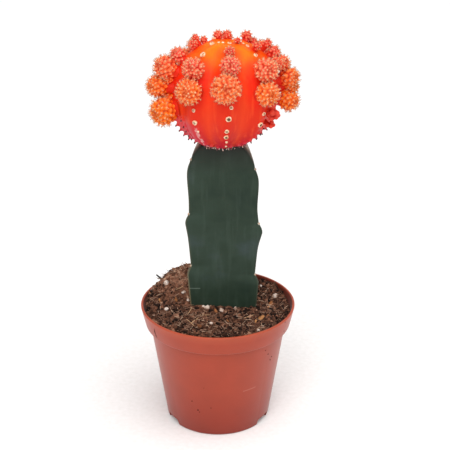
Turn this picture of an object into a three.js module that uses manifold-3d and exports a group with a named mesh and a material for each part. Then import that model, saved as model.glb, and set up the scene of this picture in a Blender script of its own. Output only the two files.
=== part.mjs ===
// A potted moon cactus, in millimetres, +Z up, with its origin at the middle of the pot's foot.
// A plastic nursery pot holds peat, a three-sided green stock stands in the peat, and an orange
// ribbed globe covered in young offsets is grafted on top of the stock. The viewer stands on -Y.
import * as THREE from "three";
import { mergeVertices } from "three/addons/utils/BufferGeometryUtils.js";
import Module from "manifold-3d";

const wasm = await Module();
wasm.setup();

// Clearances: between neighbouring pieces, and outward round the stock, whose sides slope across it
const GAP = 0.3;
const STOCK_CLEARANCE = 0.4;

// The pot
const RIM_RADIUS = 32.5;
const POT_HEIGHT = 51.9;
const BAND_FOOT_RADIUS = 30.5;
const BAND_FOOT_HEIGHT = 43.4;
const LEDGE_DROP = 0.8;
const WALL_TOP_RADIUS = 28.5;
const FOOT_RADIUS = 22;
const FOOT_ROUNDING = 0.8;
const FOOT_FLARE = 0.1;
const POT_WALL = 0.9;
const RIM_LIP = 1.3;
const RIM_ROUNDING = 0.35;
const PANEL_RADIUS = 13.2;
const PANEL_RISE = 1.2;
const PANEL_BEVEL = 0.4;
const POT_SIDES = 56;
const NOTCH_TURNS = [-60, 60, 180];
const NOTCH_WIDTH_BELOW = 9.5;
const NOTCH_WIDTH_ABOVE = 7.5;
const NOTCH_HEIGHT = 2.6;
const NOTCH_INNER_RADIUS = 16.5;
const NOTCH_OVERRUN = 3;
const WALL_HOLE_RADIUS = 2;
const WALL_HOLE_PLACE = 18.8;
const PANEL_HOLE_RADIUS = 2.2;
const PANEL_HOLE_PLACE = 8;
const HOLE_SIDES = 12;

// The peat
const PEAT_FLOOR = PANEL_RISE + POT_WALL + GAP;
const PEAT_LEVEL = 49.7;
const PEAT_SIDES = 48;
const PEAT_RINGS = 11;
const PEAT_SLOPE = 0.02;
const MOUND_HEIGHT = 3.2;
const MOUND_SPREAD = 17;
const HEAP_HEIGHT = 11;
const HEAP_X = -16;
const HEAP_Y = 12;
const HEAP_SPREAD = 14.5;
const HEAP_EDGE_LEVEL = 3.6;
const BANK_HEIGHT = 1.7;
const BANK_X = 15;
const BANK_Y = -8;
const BANK_SPREAD = 7;
const EDGE_ZONE = 0.75;
const CRUMB_RELIEF = 0.32;
const CRUMB_WAVES = [
  [0.9, 0.3, 0],
  [0.5, -1, 1],
  [0.3, 0.7, 2],
];
const GRAINS = 21;
const GRAIN_SIZE = 1.1;
const GRAIN_HEIGHT = 0.7;
const GRAIN_DEPTH = 0.75;
const GRAIN_DEPTH_SPREAD = 0.2;
const GRAIN_TILT = 0.5;
const GRAIN_LIFT = 0.1;
const GRAIN_TURN = 137.5;
const GRAIN_TURN_SPREAD = 20;
const GRAIN_NEAREST = 12;
const GRAIN_REACH = 17;
const GRAIN_SEED = 7;

// The stock: three ribs, one flat side to the front
const STOCK_X = 2.2;
const STOCK_Y = 1.75;
const STOCK_FOOT = 28;
const STOCK_TOP = 124.2;
const FACE_DISTANCE = 8.6;
const RIB_RADIUS = 18.2;
const FACE_HOLLOW = 1.1;
const FACE_HALF_WIDTH = 60;
const HOLLOW_SHARPNESS = 1.5;
const RIB_TURNS = [-150, -30, 90];
const SHAVE_TURNS = [-168, -12, 90];
const SHAVES_AT_TOP = [7.3, 6, 7];
const SHAVE_GROWTH = 2.6;
const EDGE_SHARPNESS = 13;
const CUT_SHARPNESS = 20;
const COLUMNS_FROM_RIB = [-60, -33, -17, -8, -2.5, 2.5, 8, 17, 33];
const STOCK_STEP = 3.8;
const SHOULDER_STEP = 0.6;
const SHOULDER_STEP_GROWTH = 0.35;
const NODE_SPACING = 23;
const NODE_BULGE = 1.7;
const NODE_RISE_SHARE = 0.18;
const NODE_NARROWNESS = 12;
const NODE_HEIGHTS = [94.4, 90.4, 101];
// How much further each rib's node at that height stands out, how far its middle is below the
// areole, and how far up and down it runs
const NODE_EXTRAS = [0.7, 1.6, 0];
const EXTRA_DROP = 2;
const EXTRA_SPREAD = 6;
const NODE_TILT = 0.4;
const HIGHEST_NODE = 118;
const LOWEST_NODE = 58;

// The grafted globe
const GLOBE_RADIUS = 21;
const GLOBE_HEIGHT_ABOVE = 21.2;
const GLOBE_DEPTH_BELOW = 21.5;
const GLOBE_SQUARENESS = 2.2;
const GLOBE_CENTRE_Z = 142.3;
const GLOBE_LEAN = 0.045;
const GLOBE_FLOOR = 122.9;
const COLUMNS_FROM_CREST = [0, 0.22, 0.42, 0.58, 0.78];
const GLOBE_ROWS = 15;
const CREST_TURNS = [-134, -88, -39, 0, 44, 94, 139, 181];
const FURROW_DEPTH = 2.3;
const FURROW_FADE = 0.6;
const CREST_SHARPNESS = 0.8;
const CROWN_DIP = 1.3;
const CROWN_DIP_SPREAD = 4;
const AREOLE_WIDTH = 2;
const AREOLE_HEIGHT = 0.6;
const AREOLE_SINK = 0.2;
const AREOLE_SPINES = 3;
const SPINE_REACH = 1.6;
const SPINE_RISE = 1.3;
const STOCK_AREOLE_SCALE = 0.75;
const AREOLE_LATITUDES = [72, 55, -11, -22.3, -34.4, -44.5, -54.6];
const AREOLE_CLEARANCE = 4;

// The offsets on each crest: latitude, size across the tips, how far the middle stands off the
// crest, and the turn aside from it, if any
const OFFSETS = new Map([
  [-134, [[2, 9.4, 3], [22, 9, 3], [42, 6.6, 2], [57, 3.6, 1.2]]],
  [-88, [
    [-12, 11.6, 3.4, 9], [-3, 6.6, 1], [6, 9.4, 5.4], [14, 6, 2.2], [23, 10, 4.2],
    [39, 6.4, 2.8], [57, 4, 1.8],
  ]],
  [-39, [[13, 10.2, 3, 3], [34, 8.6, 2.6]]],
  [0, [[18, 11.4, 3.4], [40, 7.8, 2.3, 4], [60, 4.4, 1.1, 4]]],
  [44, [[10, 9.6, 3, -2], [31, 9.6, 2.8, 2]]],
  [94, [
    [-5, 9.2, 4, -4], [4, 6.4, 5], [12, 9, 4.2], [27, 7, 3], [41, 5.6, 2.6], [52, 4.2, 3.2],
  ]],
  [139, [[-4, 8, 2.6], [13, 9.4, 3.2], [32, 8.4, 2.8], [49, 4.4, 1.6], [62, 4.8, 2]]],
  [181, [[-9, 8.8, 3], [11, 10, 3.2], [31, 8.6, 3], [50, 5.6, 2], [75, 4.2, 1.2]]],
]);
// Those between the crests round the crown, and the smooth young knobs low down at the right: turn,
// latitude, size across, and how far the middle stands off
const CROWN_OFFSETS = [
  [-112, 58, 3.6, 3],
  [-149, 73, 4.2, 1.4],
  [60, 80, 3, 0.6],
  [74, 60, 3.6, 1.2],
];
const BARE_KNOBS = [
  [62, -12, 4.7, 0],
  [66, -25, 3.6, 0],
];

// How finely an offset over each size is divided
const OFFSET_SCALES = [
  { least: 7, columns: 14, rings: 7 },
  { least: 4.6, columns: 12, rings: 6 },
  { least: 0, columns: 8, rings: 5 },
];
const OFFSET_SPAN = 132;
const POLE_SHARE = 0.7;
const WART_RELIEF = 0.15;
const NECK_SHARE = 0.4;
const NECK_DEPTH = 1.2;

const UP = new THREE.Vector3(0, 0, 1);

function radians(degrees) {
  return (degrees * Math.PI) / 180;
}

// A point at a turn from the viewer's side, positive to the right
function around(turn, radius, z) {
  const angle = radians(turn);
  return new THREE.Vector3(radius * Math.sin(angle), -radius * Math.cos(angle), z);
}

// A repeatable stream of numbers from 0 to 1
function seeded(seed) {
  let state = seed;
  return () => {
    state = (state * 16807) % 2147483647;
    return state / 2147483647;
  };
}

// One closed solid from a geometry, its shared points merged
function solid(geometry) {
  const bare = geometry.index ? geometry.toNonIndexed() : geometry.clone();
  bare.deleteAttribute("normal");
  bare.deleteAttribute("uv");
  const merged = mergeVertices(bare, 1e-4);
  return new wasm.Manifold(
    new wasm.Mesh({
      numProp: 3,
      vertProperties: merged.attributes.position.array,
      triVerts: new Uint32Array(merged.index.array),
    }),
  );
}

// A named piece in its own colour and finish
function piece(name, body, colour, roughness) {
  const made = body.getMesh();
  const geometry = new THREE.BufferGeometry();
  geometry.setAttribute("position", new THREE.BufferAttribute(made.vertProperties, 3));
  geometry.setIndex(new THREE.BufferAttribute(made.triVerts, 1));
  geometry.computeVertexNormals();
  const material = new THREE.MeshStandardMaterial({ color: colour, roughness, metalness: 0 });
  const mesh = new THREE.Mesh(geometry, material);
  mesh.name = name;
  return mesh;
}

// A closed skin: rings of points from an upper pole to a lower pole, with counter-clockwise columns.
// Where flip(ring, column) is true, a face is split along its other diagonal.
function skin(rings, columns, place, upper, lower, flip = () => false) {
  const points = [upper];
  for (let ring = 0; ring < rings; ring++) {
    for (let column = 0; column < columns; column++) {
      points.push(place(ring, column));
    }
  }
  points.push(lower);
  const at = (ring, column) => 1 + ring * columns + (column % columns);
  const faces = [];
  for (let column = 0; column < columns; column++) {
    faces.push(0, at(0, column), at(0, column + 1));
    faces.push(points.length - 1, at(rings - 1, column + 1), at(rings - 1, column));
    for (let ring = 0; ring + 1 < rings; ring++) {
      const a = at(ring, column);
      const b = at(ring + 1, column);
      const c = at(ring + 1, column + 1);
      const d = at(ring, column + 1);
      faces.push(...(flip(ring, column) ? [a, b, d, b, c, d] : [a, b, c, a, c, d]));
    }
  }
  const geometry = new THREE.BufferGeometry().setFromPoints(points);
  geometry.setIndex(faces);
  return geometry;
}

// A turned shape about Z from a profile of [radius, height] pairs that runs upwards
function turned(profile, sides) {
  const outline = profile.map(([radius, height]) => new THREE.Vector2(radius, height));
  return new THREE.LatheGeometry(outline, sides).rotateX(Math.PI / 2);
}

// An upright rod that a drain hole takes away
function rod(radius, low, high, place) {
  const geometry = new THREE.CylinderGeometry(radius, radius, high - low, HOLE_SIDES);
  geometry.rotateX(Math.PI / 2);
  geometry.translate(place.x, place.y, (low + high) / 2);
  return solid(geometry);
}

// The block that a foot notch takes from the pot's outside or, grown by the wall, from its inside
function notchBlock(turn, growth) {
  const outline = new THREE.Shape();
  const below = NOTCH_WIDTH_BELOW / 2 + growth;
  const above = NOTCH_WIDTH_ABOVE / 2 + growth;
  outline.moveTo(-below, -POT_WALL);
  outline.lineTo(below, -POT_WALL);
  outline.lineTo(above, NOTCH_HEIGHT + growth);
  outline.lineTo(-above, NOTCH_HEIGHT + growth);
  const length = FOOT_RADIUS + NOTCH_OVERRUN - NOTCH_INNER_RADIUS + growth;
  const block = new THREE.ExtrudeGeometry(outline, { depth: length, bevelEnabled: false });
  block.rotateX(Math.PI / 2);
  block.translate(0, -(NOTCH_INNER_RADIUS - growth), 0);
  block.rotateZ(radians(turn));
  return solid(block);
}

// The room inside the pot, at a clearance from its wall, from a floor to a top
function potRoom(clearance, floor, top, sides) {
  const slope = (WALL_TOP_RADIUS - FOOT_RADIUS) / (BAND_FOOT_HEIGHT - LEDGE_DROP);
  const wallRadius = (height) => FOOT_RADIUS + slope * height - POT_WALL - clearance;
  const stepLow = BAND_FOOT_HEIGHT - LEDGE_DROP - POT_WALL / 2;
  return solid(
    turned(
      [
        [0, floor],
        [wallRadius(floor) - FOOT_ROUNDING, floor],
        [wallRadius(floor + FOOT_ROUNDING), floor + FOOT_ROUNDING],
        [wallRadius(stepLow), stepLow],
        [BAND_FOOT_RADIUS - POT_WALL - clearance, BAND_FOOT_HEIGHT],
        [RIM_RADIUS - RIM_LIP - clearance, POT_HEIGHT - RIM_ROUNDING],
        [RIM_RADIUS - RIM_LIP + RIM_ROUNDING - clearance, POT_HEIGHT],
        [RIM_RADIUS - RIM_LIP + RIM_ROUNDING - clearance, top],
        [0, top],
      ],
      sides,
    ),
  );
}

function makePot() {
  const outside = solid(
    turned(
      [
        [0, PANEL_RISE],
        [PANEL_RADIUS, PANEL_RISE],
        [PANEL_RADIUS + PANEL_BEVEL, 0],
        [FOOT_RADIUS - FOOT_ROUNDING, 0],
        [FOOT_RADIUS + FOOT_FLARE, FOOT_ROUNDING],
        [WALL_TOP_RADIUS, BAND_FOOT_HEIGHT - LEDGE_DROP],
        [BAND_FOOT_RADIUS - RIM_ROUNDING, BAND_FOOT_HEIGHT - RIM_ROUNDING],
        [BAND_FOOT_RADIUS, BAND_FOOT_HEIGHT],
        [RIM_RADIUS, POT_HEIGHT - RIM_ROUNDING],
        [RIM_RADIUS - RIM_ROUNDING, POT_HEIGHT],
        [0, POT_HEIGHT],
      ],
      POT_SIDES,
    ),
  );
  const floor = PANEL_RISE + POT_WALL;
  let room = potRoom(0, floor, POT_HEIGHT + RIM_LIP, POT_SIDES);
  let body = outside;
  for (const turn of NOTCH_TURNS) {
    body = body.subtract(notchBlock(turn, 0));
    room = room.subtract(notchBlock(turn, POT_WALL));
  }
  body = body.subtract(room);
  for (const turn of NOTCH_TURNS) {
    const wallHole = around(turn, WALL_HOLE_PLACE, 0);
    const panelHole = around(turn + NOTCH_TURNS[1], PANEL_HOLE_PLACE, 0);
    body = body.subtract(rod(WALL_HOLE_RADIUS, 0, 2 * NOTCH_HEIGHT, wallHole));
    body = body.subtract(rod(PANEL_HOLE_RADIUS, 0, 2 * floor, panelHole));
  }
  return body;
}

// How far a rib of the stock stands out at a height: it steps out at each areole, and narrows
// slowly down to the next one
function ribSwell(rib, z) {
  const below = (NODE_HEIGHTS[rib] - z) / NODE_SPACING;
  const phase = below - Math.floor(below);
  const rise = Math.sin((phase / NODE_RISE_SHARE) * (Math.PI / 2));
  const fall = (1 - phase) / (1 - NODE_RISE_SHARE);
  const fromExtra = (NODE_HEIGHTS[rib] - EXTRA_DROP - z) / EXTRA_SPREAD;
  const extra = NODE_EXTRAS[rib] * Math.exp(-(fromExtra ** 2));
  return NODE_BULGE * ((phase < NODE_RISE_SHARE ? rise : fall) - 0.5) + extra;
}

// The stock's radius at an angle from +X and a height: the least of three faces, the rounded ribs
// and the shaved shoulders, each met softly
function stockRadius(angle, z, growth) {
  let inverse = 0;
  let swell = 0;
  let hollow = 0;
  const ribFace = Math.cos(radians(FACE_HALF_WIDTH));
  RIB_TURNS.forEach((ribTurn, rib) => {
    const face = Math.cos(angle - radians(ribTurn + FACE_HALF_WIDTH));
    if (face > 0) inverse += (face / FACE_DISTANCE) ** EDGE_SHARPNESS;
    const fromEdge = (face - ribFace) / (1 - ribFace);
    if (fromEdge > 0) hollow = FACE_HOLLOW * fromEdge ** HOLLOW_SHARPNESS;
    const near = Math.cos(angle - radians(ribTurn));
    if (near > 0) swell += ribSwell(rib, z) * near ** NODE_NARROWNESS;
  });
  inverse += (1 / RIB_RADIUS) ** EDGE_SHARPNESS;
  const uncut = inverse ** (-1 / EDGE_SHARPNESS) + swell - hollow;
  let shaved = (1 / uncut) ** CUT_SHARPNESS;
  const growing = SHAVE_GROWTH * Math.sqrt(Math.max(STOCK_TOP - z, 0));
  SHAVE_TURNS.forEach((turn, rib) => {
    const across = Math.cos(angle - radians(turn));
    if (across > 0) shaved += (across / (SHAVES_AT_TOP[rib] + growing)) ** CUT_SHARPNESS;
  });
  return shaved ** (-1 / CUT_SHARPNESS) + growth;
}

// The heights of the stock's rings, closer together over the shaved shoulders
function stockHeights(foot, top) {
  const heights = [top];
  let height = Math.min(top, STOCK_TOP);
  while (height > foot) {
    heights.push(height);
    const down = STOCK_TOP - height;
    height -= Math.min(SHOULDER_STEP + down * SHOULDER_STEP_GROWTH, STOCK_STEP);
  }
  heights.push(foot);
  return [...new Set(heights)];
}

function stockBody(growth, foot, top) {
  const heights = stockHeights(foot, top);
  const turns = RIB_TURNS.flatMap((rib) => COLUMNS_FROM_RIB.map((from) => rib + from));
  const place = (ring, column) => {
    const angle = radians(turns[column]);
    const radius = stockRadius(angle, heights[ring], growth);
    return new THREE.Vector3(
      STOCK_X + radius * Math.cos(angle),
      STOCK_Y + radius * Math.sin(angle),
      heights[ring],
    );
  };
  const upper = new THREE.Vector3(STOCK_X, STOCK_Y, top);
  const lower = new THREE.Vector3(STOCK_X, STOCK_Y, foot);
  return solid(skin(heights.length, turns.length, place, upper, lower));
}

// An areole: a felted cushion whose rim runs out into short spines, set along a direction
function areole(point, outward, scale) {
  const place = (ring, column) => {
    const angle = (column * Math.PI) / AREOLE_SPINES;
    const spine = column % 2 === 0;
    const across = spine ? SPINE_REACH : AREOLE_WIDTH / 3;
    const high = spine ? SPINE_RISE : AREOLE_HEIGHT / 2;
    return new THREE.Vector3(across * Math.cos(angle), across * Math.sin(angle), high);
  };
  const upper = new THREE.Vector3(0, 0, AREOLE_HEIGHT);
  const lower = new THREE.Vector3(0, 0, -AREOLE_HEIGHT);
  const star = skin(1, 2 * AREOLE_SPINES, place, upper, lower).scale(scale, scale, scale);
  return solid(aimed(star, point, outward));
}

// A shape made round +Z, turned to face outward from a point
function aimed(geometry, point, outward) {
  const turn = new THREE.Quaternion().setFromUnitVectors(UP, outward.clone().normalize());
  return geometry.applyMatrix4(new THREE.Matrix4().compose(point, turn, new THREE.Vector3(1, 1, 1)));
}

function makeStock() {
  const parts = [stockBody(0, STOCK_FOOT, STOCK_TOP)];
  RIB_TURNS.forEach((ribTurn, rib) => {
    const angle = radians(ribTurn);
    const above = Math.floor((HIGHEST_NODE - NODE_HEIGHTS[rib]) / NODE_SPACING);
    const highest = NODE_HEIGHTS[rib] + NODE_SPACING * above;
    for (let height = highest; height > LOWEST_NODE; height -= NODE_SPACING) {
      const radius = stockRadius(angle, height, 0) - AREOLE_SINK;
      const point = new THREE.Vector3(
        STOCK_X + radius * Math.cos(angle),
        STOCK_Y + radius * Math.sin(angle),
        height,
      );
      const outward = new THREE.Vector3(Math.cos(angle), Math.sin(angle), NODE_TILT);
      parts.push(areole(point, outward, STOCK_AREOLE_SCALE));
    }
  });
  return wasm.Manifold.union(parts);
}

// The share of the furrow's depth at a turn: 0 on a crest, 1 halfway to the next one
function furrowShare(turn) {
  for (const [left, right] of crestPairs()) {
    const past = THREE.MathUtils.euclideanModulo(turn - left, 360);
    if (past <= right - left) {
      const fromFurrow = Math.abs((past / (right - left)) * 2 - 1);
      return ((1 + Math.cos(Math.PI * fromFurrow)) / 2) ** CREST_SHARPNESS;
    }
  }
  return 0;
}

// Each crest's turn with the next one's, going right
function crestPairs() {
  return CREST_TURNS.map((left, n) => [left, CREST_TURNS[n + 1] ?? CREST_TURNS[0] + 360]);
}

// A point of the globe at a turn and a latitude, or standing off its crest
function onGlobe(turn, latitude, stand, furrowed) {
  const across = Math.cos(radians(latitude));
  const up = Math.sin(radians(latitude));
  const power = 2 / GLOBE_SQUARENESS;
  let radius = GLOBE_RADIUS * across ** power;
  const reach = up > 0 ? GLOBE_HEIGHT_ABOVE : -GLOBE_DEPTH_BELOW;
  let height = reach * Math.abs(up) ** power;
  const share = radius / GLOBE_RADIUS;
  if (furrowed) {
    radius -= FURROW_DEPTH * share ** FURROW_FADE * furrowShare(turn);
    if (up > 0) height -= CROWN_DIP * Math.exp(-((radius / CROWN_DIP_SPREAD) ** 2));
  }
  const point = around(turn, radius + stand * across, GLOBE_CENTRE_Z + height + stand * up);
  point.x += STOCK_X + GLOBE_LEAN * (point.z - STOCK_TOP);
  point.y += STOCK_Y;
  return point;
}

function globeBody() {
  const power = GLOBE_SQUARENESS / 2;
  const floorSine = ((GLOBE_CENTRE_Z - GLOBE_FLOOR) / GLOBE_DEPTH_BELOW) ** power;
  const lowest = -THREE.MathUtils.radToDeg(Math.asin(floorSine));
  const highest = 90 - (90 - lowest) / GLOBE_ROWS;
  const turns = crestPairs().flatMap(([left, right]) =>
    COLUMNS_FROM_CREST.map((share) => left + share * (right - left)),
  );
  const place = (ring, column) => {
    const latitude = highest + ((lowest - highest) * ring) / (GLOBE_ROWS - 1);
    return onGlobe(turns[column], latitude, 0, true);
  };
  const upper = onGlobe(0, 90, 0, true);
  const lower = onGlobe(0, lowest, 0, false);
  lower.x = STOCK_X;
  lower.y = STOCK_Y;
  return solid(skin(GLOBE_ROWS, turns.length, place, upper, lower));
}

// An offset: a small globe set with warts on a short neck. Its points stand out and in by turns,
// as on a chessboard, and each face is split between two low points, so that each high point is a
// wart. The last ring is the neck, which ends inside the crest.
function offset(point, outward, size, stand, warty) {
  const scale = OFFSET_SCALES.find(({ least }) => size > least);
  const relief = warty ? WART_RELIEF : 0;
  const neck = scale.rings - 1;
  const place = (ring, column) => {
    const high = ring < neck && (ring + column) % 2 === 0;
    const radius = (size / 2) * (high ? 1 : 1 - relief);
    const down = radians((OFFSET_SPAN * (ring + POLE_SHARE)) / (neck - 1 + POLE_SHARE));
    const across = ring === neck ? NECK_SHARE * size : radius * Math.sin(down);
    const up = ring === neck ? -stand - NECK_DEPTH : radius * Math.cos(down);
    const angle = (column * 2 * Math.PI) / scale.columns;
    return new THREE.Vector3(across * Math.cos(angle), across * Math.sin(angle), up);
  };
  const upper = new THREE.Vector3(0, 0, (size / 2) * (1 - relief));
  const lower = new THREE.Vector3(0, 0, -stand - NECK_DEPTH);
  const flip = (ring, column) => (ring + column) % 2 === 0;
  return solid(aimed(skin(scale.rings, scale.columns, place, upper, lower, flip), point, outward));
}

function makeGlobe() {
  const parts = [globeBody()];
  const plant = (turn, latitude, size, stand, warty) => {
    const foot = onGlobe(turn, latitude, 0, true);
    const middle = onGlobe(turn, latitude, stand, false);
    const outward = middle.clone().sub(onGlobe(turn, latitude, stand - 1, false));
    parts.push(offset(middle, outward, size, middle.distanceTo(foot), warty));
  };
  for (const [crest, offsets] of OFFSETS) {
    for (const [latitude, size, stand, aside = 0] of offsets) {
      plant(crest + aside, latitude, size, stand, true);
    }
    for (const latitude of AREOLE_LATITUDES) {
      const covered = offsets.some(([at, size]) => {
        const halfWidth = THREE.MathUtils.radToDeg(size / 2 / GLOBE_RADIUS);
        return Math.abs(at - latitude) < halfWidth + AREOLE_CLEARANCE;
      });
      if (covered) continue;
      const point = onGlobe(crest, latitude, -AREOLE_SINK, false);
      const outward = onGlobe(crest, latitude, 1, false).sub(onGlobe(crest, latitude, 0, false));
      parts.push(areole(point, outward, 1));
    }
  }
  for (const [turn, latitude, size, stand] of CROWN_OFFSETS) plant(turn, latitude, size, stand, true);
  for (const [turn, latitude, size, stand] of BARE_KNOBS) plant(turn, latitude, size, stand, false);
  const whole = wasm.Manifold.union(parts);
  return whole.subtract(stockBody(STOCK_CLEARANCE, GLOBE_FLOOR - GLOBE_DEPTH_BELOW, STOCK_TOP + GAP));
}

// The height of the peat at a place: a level bed, a mound round the stock, a heap at the back left,
// a low bank against the stock's right rib, and small crumbs from crossed waves
function peatHeight(x, y) {
  const fromStock = Math.hypot(x - STOCK_X, y - STOCK_Y);
  const fromHeap = Math.hypot(x - HEAP_X, y - HEAP_Y);
  const fromBank = Math.hypot(x - BANK_X, y - BANK_Y);
  const fromAxis = Math.hypot(x, y);
  const mound = MOUND_HEIGHT * Math.exp(-((fromStock / MOUND_SPREAD) ** 2));
  const heap = HEAP_HEIGHT * Math.exp(-((fromHeap / HEAP_SPREAD) ** 2));
  const bank = BANK_HEIGHT * Math.exp(-((fromBank / BANK_SPREAD) ** 2));
  const edge = THREE.MathUtils.smoothstep(fromAxis, EDGE_ZONE * RIM_RADIUS, RIM_RADIUS);
  const heaped = heap * (1 - edge) + (HEAP_EDGE_LEVEL * edge * heap) / HEAP_HEIGHT;
  let crumbs = 0;
  for (const [alongX, alongY, shift] of CRUMB_WAVES) {
    crumbs += Math.sin(alongX * x + alongY * y + shift);
  }
  crumbs *= CRUMB_RELIEF * (1 - edge / 2);
  return PEAT_LEVEL - PEAT_SLOPE * (x + y) + mound + heaped + bank + crumbs;
}

// Perlite and coarse crumbs, laid out on a spiral like seeds in a flower head
function peatGrains() {
  const random = seeded(GRAIN_SEED);
  const grains = [];
  for (let n = 0; n < GRAINS; n++) {
    const out = GRAIN_NEAREST + GRAIN_REACH * Math.sqrt((n + 0.5) / GRAINS);
    const place = around(GRAIN_TURN * n + GRAIN_TURN_SPREAD * random(), out, 0);
    const size = GRAIN_SIZE * (1 + random() ** 2);
    if (Math.hypot(place.x - STOCK_X, place.y - STOCK_Y) < RIB_RADIUS + 2 * GRAIN_SIZE) continue;
    const grain = new THREE.IcosahedronGeometry(size, 0);
    grain.scale(1, GRAIN_DEPTH + GRAIN_DEPTH_SPREAD * random(), GRAIN_HEIGHT);
    grain.rotateZ(2 * Math.PI * random());
    grain.rotateX(GRAIN_TILT * random());
    grain.translate(place.x, place.y, peatHeight(place.x, place.y) + GRAIN_LIFT * size);
    grains.push(solid(grain));
  }
  return grains;
}

function makePeat() {
  const place = (ring, column) => {
    const onFloor = ring === PEAT_RINGS - 1;
    const share = onFloor ? 1 : (ring + 1) / (PEAT_RINGS - 1);
    const spot = around((column * 360) / PEAT_SIDES, RIM_RADIUS * share, 0);
    spot.z = onFloor ? 0 : peatHeight(spot.x, spot.y);
    return spot;
  };
  const upper = new THREE.Vector3(0, 0, peatHeight(0, 0));
  const lower = new THREE.Vector3(0, 0, 0);
  const bed = solid(skin(PEAT_RINGS, PEAT_SIDES, place, upper, lower));
  let body = wasm.Manifold.union([bed, ...peatGrains()]);
  body = body.intersect(potRoom(GAP, PEAT_FLOOR, POT_HEIGHT + 2 * HEAP_HEIGHT, PEAT_SIDES));
  for (const turn of NOTCH_TURNS) body = body.subtract(notchBlock(turn, POT_WALL + GAP));
  return body.subtract(stockBody(STOCK_CLEARANCE, STOCK_FOOT - GAP, POT_HEIGHT + 3 * HEAP_HEIGHT));
}

const group = new THREE.Group();
group.name = "potted_moon_cactus";
group.add(piece("pot", makePot(), 0xb4523f, 0.45));
group.add(piece("soil", makePeat(), 0x4a3226, 0.95));
group.add(piece("rootstock", makeStock(), 0x35463a, 0.55));
group.add(piece("scion", makeGlobe(), 0xf2552b, 0.45));

export default group;
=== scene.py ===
# %% [markdown]
# # A potted moon cactus
# A moon cactus is two plants in one. The orange globe has no green in it and can't feed itself, so
# the nursery grafts it on a stock: a cut length of a three-sided green cactus with roots of its own.
# The globe is covered with young offsets, which are small globes with warts of their own.
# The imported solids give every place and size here. Each piece below is the finer skin of one of them,
# worked out by the same formulas, so nothing has to be fitted afterwards.

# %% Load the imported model
import functools
import math

import bpy
import mathutils
import numpy as np
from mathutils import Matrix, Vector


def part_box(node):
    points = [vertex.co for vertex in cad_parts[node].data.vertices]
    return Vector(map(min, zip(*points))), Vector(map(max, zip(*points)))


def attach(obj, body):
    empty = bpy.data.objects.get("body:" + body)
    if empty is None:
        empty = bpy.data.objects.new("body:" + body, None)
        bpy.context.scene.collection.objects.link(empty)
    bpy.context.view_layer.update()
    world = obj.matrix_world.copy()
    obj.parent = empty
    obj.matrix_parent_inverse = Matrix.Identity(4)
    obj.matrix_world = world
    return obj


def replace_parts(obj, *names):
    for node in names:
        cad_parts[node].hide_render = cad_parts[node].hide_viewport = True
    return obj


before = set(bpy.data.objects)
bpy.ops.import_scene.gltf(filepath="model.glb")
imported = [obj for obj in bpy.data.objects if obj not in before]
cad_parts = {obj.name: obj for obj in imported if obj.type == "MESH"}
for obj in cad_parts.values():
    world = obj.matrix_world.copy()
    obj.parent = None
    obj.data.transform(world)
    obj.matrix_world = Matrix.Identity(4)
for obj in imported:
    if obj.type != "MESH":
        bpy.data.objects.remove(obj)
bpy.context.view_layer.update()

MM = 0.001
scene = bpy.context.scene


def node_box(name):
    """The lowest and highest corners of a solid, in millimetres."""
    low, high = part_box(name)
    return np.array(low) / MM, np.array(high) / MM


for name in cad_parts:
    print(name, "is", np.round(node_box(name)[1] - node_box(name)[0], 1), "mm")

# %% [markdown]
# ## The camera first
# The photograph looks down on the plant at about 23 degrees from 49 cm away. The camera is made
# first because a few small things, such as a grain of perlite or a ring of felt, are placed where the
# photograph shows them: a line from the camera through a pixel is followed until it meets the skin
# that carries the thing.

# %% Make the camera
PHOTO_SIDE = 450
SENSOR = 36
LENS = 88
CAMERA_PLACE = np.array([3.03, -415.45, 262.78])
CAMERA_DIP = math.radians(22.93)
PIXELS_PER_MM = 2.45
NEAREST_SIGHT, FURTHEST_SIGHT, SIGHT_STEPS = 380, 560, 3601

camera = bpy.data.objects.new("camera", bpy.data.cameras.new("camera"))
camera.data.lens = LENS
camera.data.sensor_width = SENSOR
camera.location = CAMERA_PLACE * MM
camera.rotation_euler = (math.pi / 2 - CAMERA_DIP, 0, 0)
scene.collection.objects.link(camera)
scene.camera = camera


def where_seen(pixels, outside):
    """Points in millimetres where sight lines through pixels first meet a surface. outside(points)
    is positive off the surface, and each line is walked in even steps until it turns negative."""
    share = (np.array(pixels, float)[:, :2] - PHOTO_SIDE / 2) * SENSOR / (LENS * PHOTO_SIDE)
    dip, rise = math.sin(CAMERA_DIP), math.cos(CAMERA_DIP)
    lines = np.array([0, rise, -dip]) + share[:, :1] * [1, 0, 0] - share[:, 1:] * [0, dip, rise]
    steps = np.linspace(NEAREST_SIGHT, FURTHEST_SIGHT, SIGHT_STEPS)
    points = CAMERA_PLACE + steps[None, :, None] * lines[:, None, :]
    first = np.argmax(outside(points) < 0, axis=1)
    return points[np.arange(len(points)), first]


print("camera at", CAMERA_PLACE, "mm, lens", LENS, "mm")

# %% [markdown]
# ## Skins from grids
# Nearly everything on a plant is a closed skin that was drawn out along a line: a stem, a globe, a
# spine, a crumb. So one helper makes closed skins from rings of points, many at a time, and another
# puts points and faces into a mesh as whole arrays, which takes no loop over vertices.


# %% Helpers that make meshes
def full_turn(count):
    """Even turns in radians, once round."""
    return 2 * np.pi * np.arange(count) / count


def round_axis(radius, turn, height):
    """Points at a distance from the Z axis, a turn about it and a height."""
    return np.stack(np.broadcast_arrays(radius * np.cos(turn), radius * np.sin(turn), height), -1)


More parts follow.
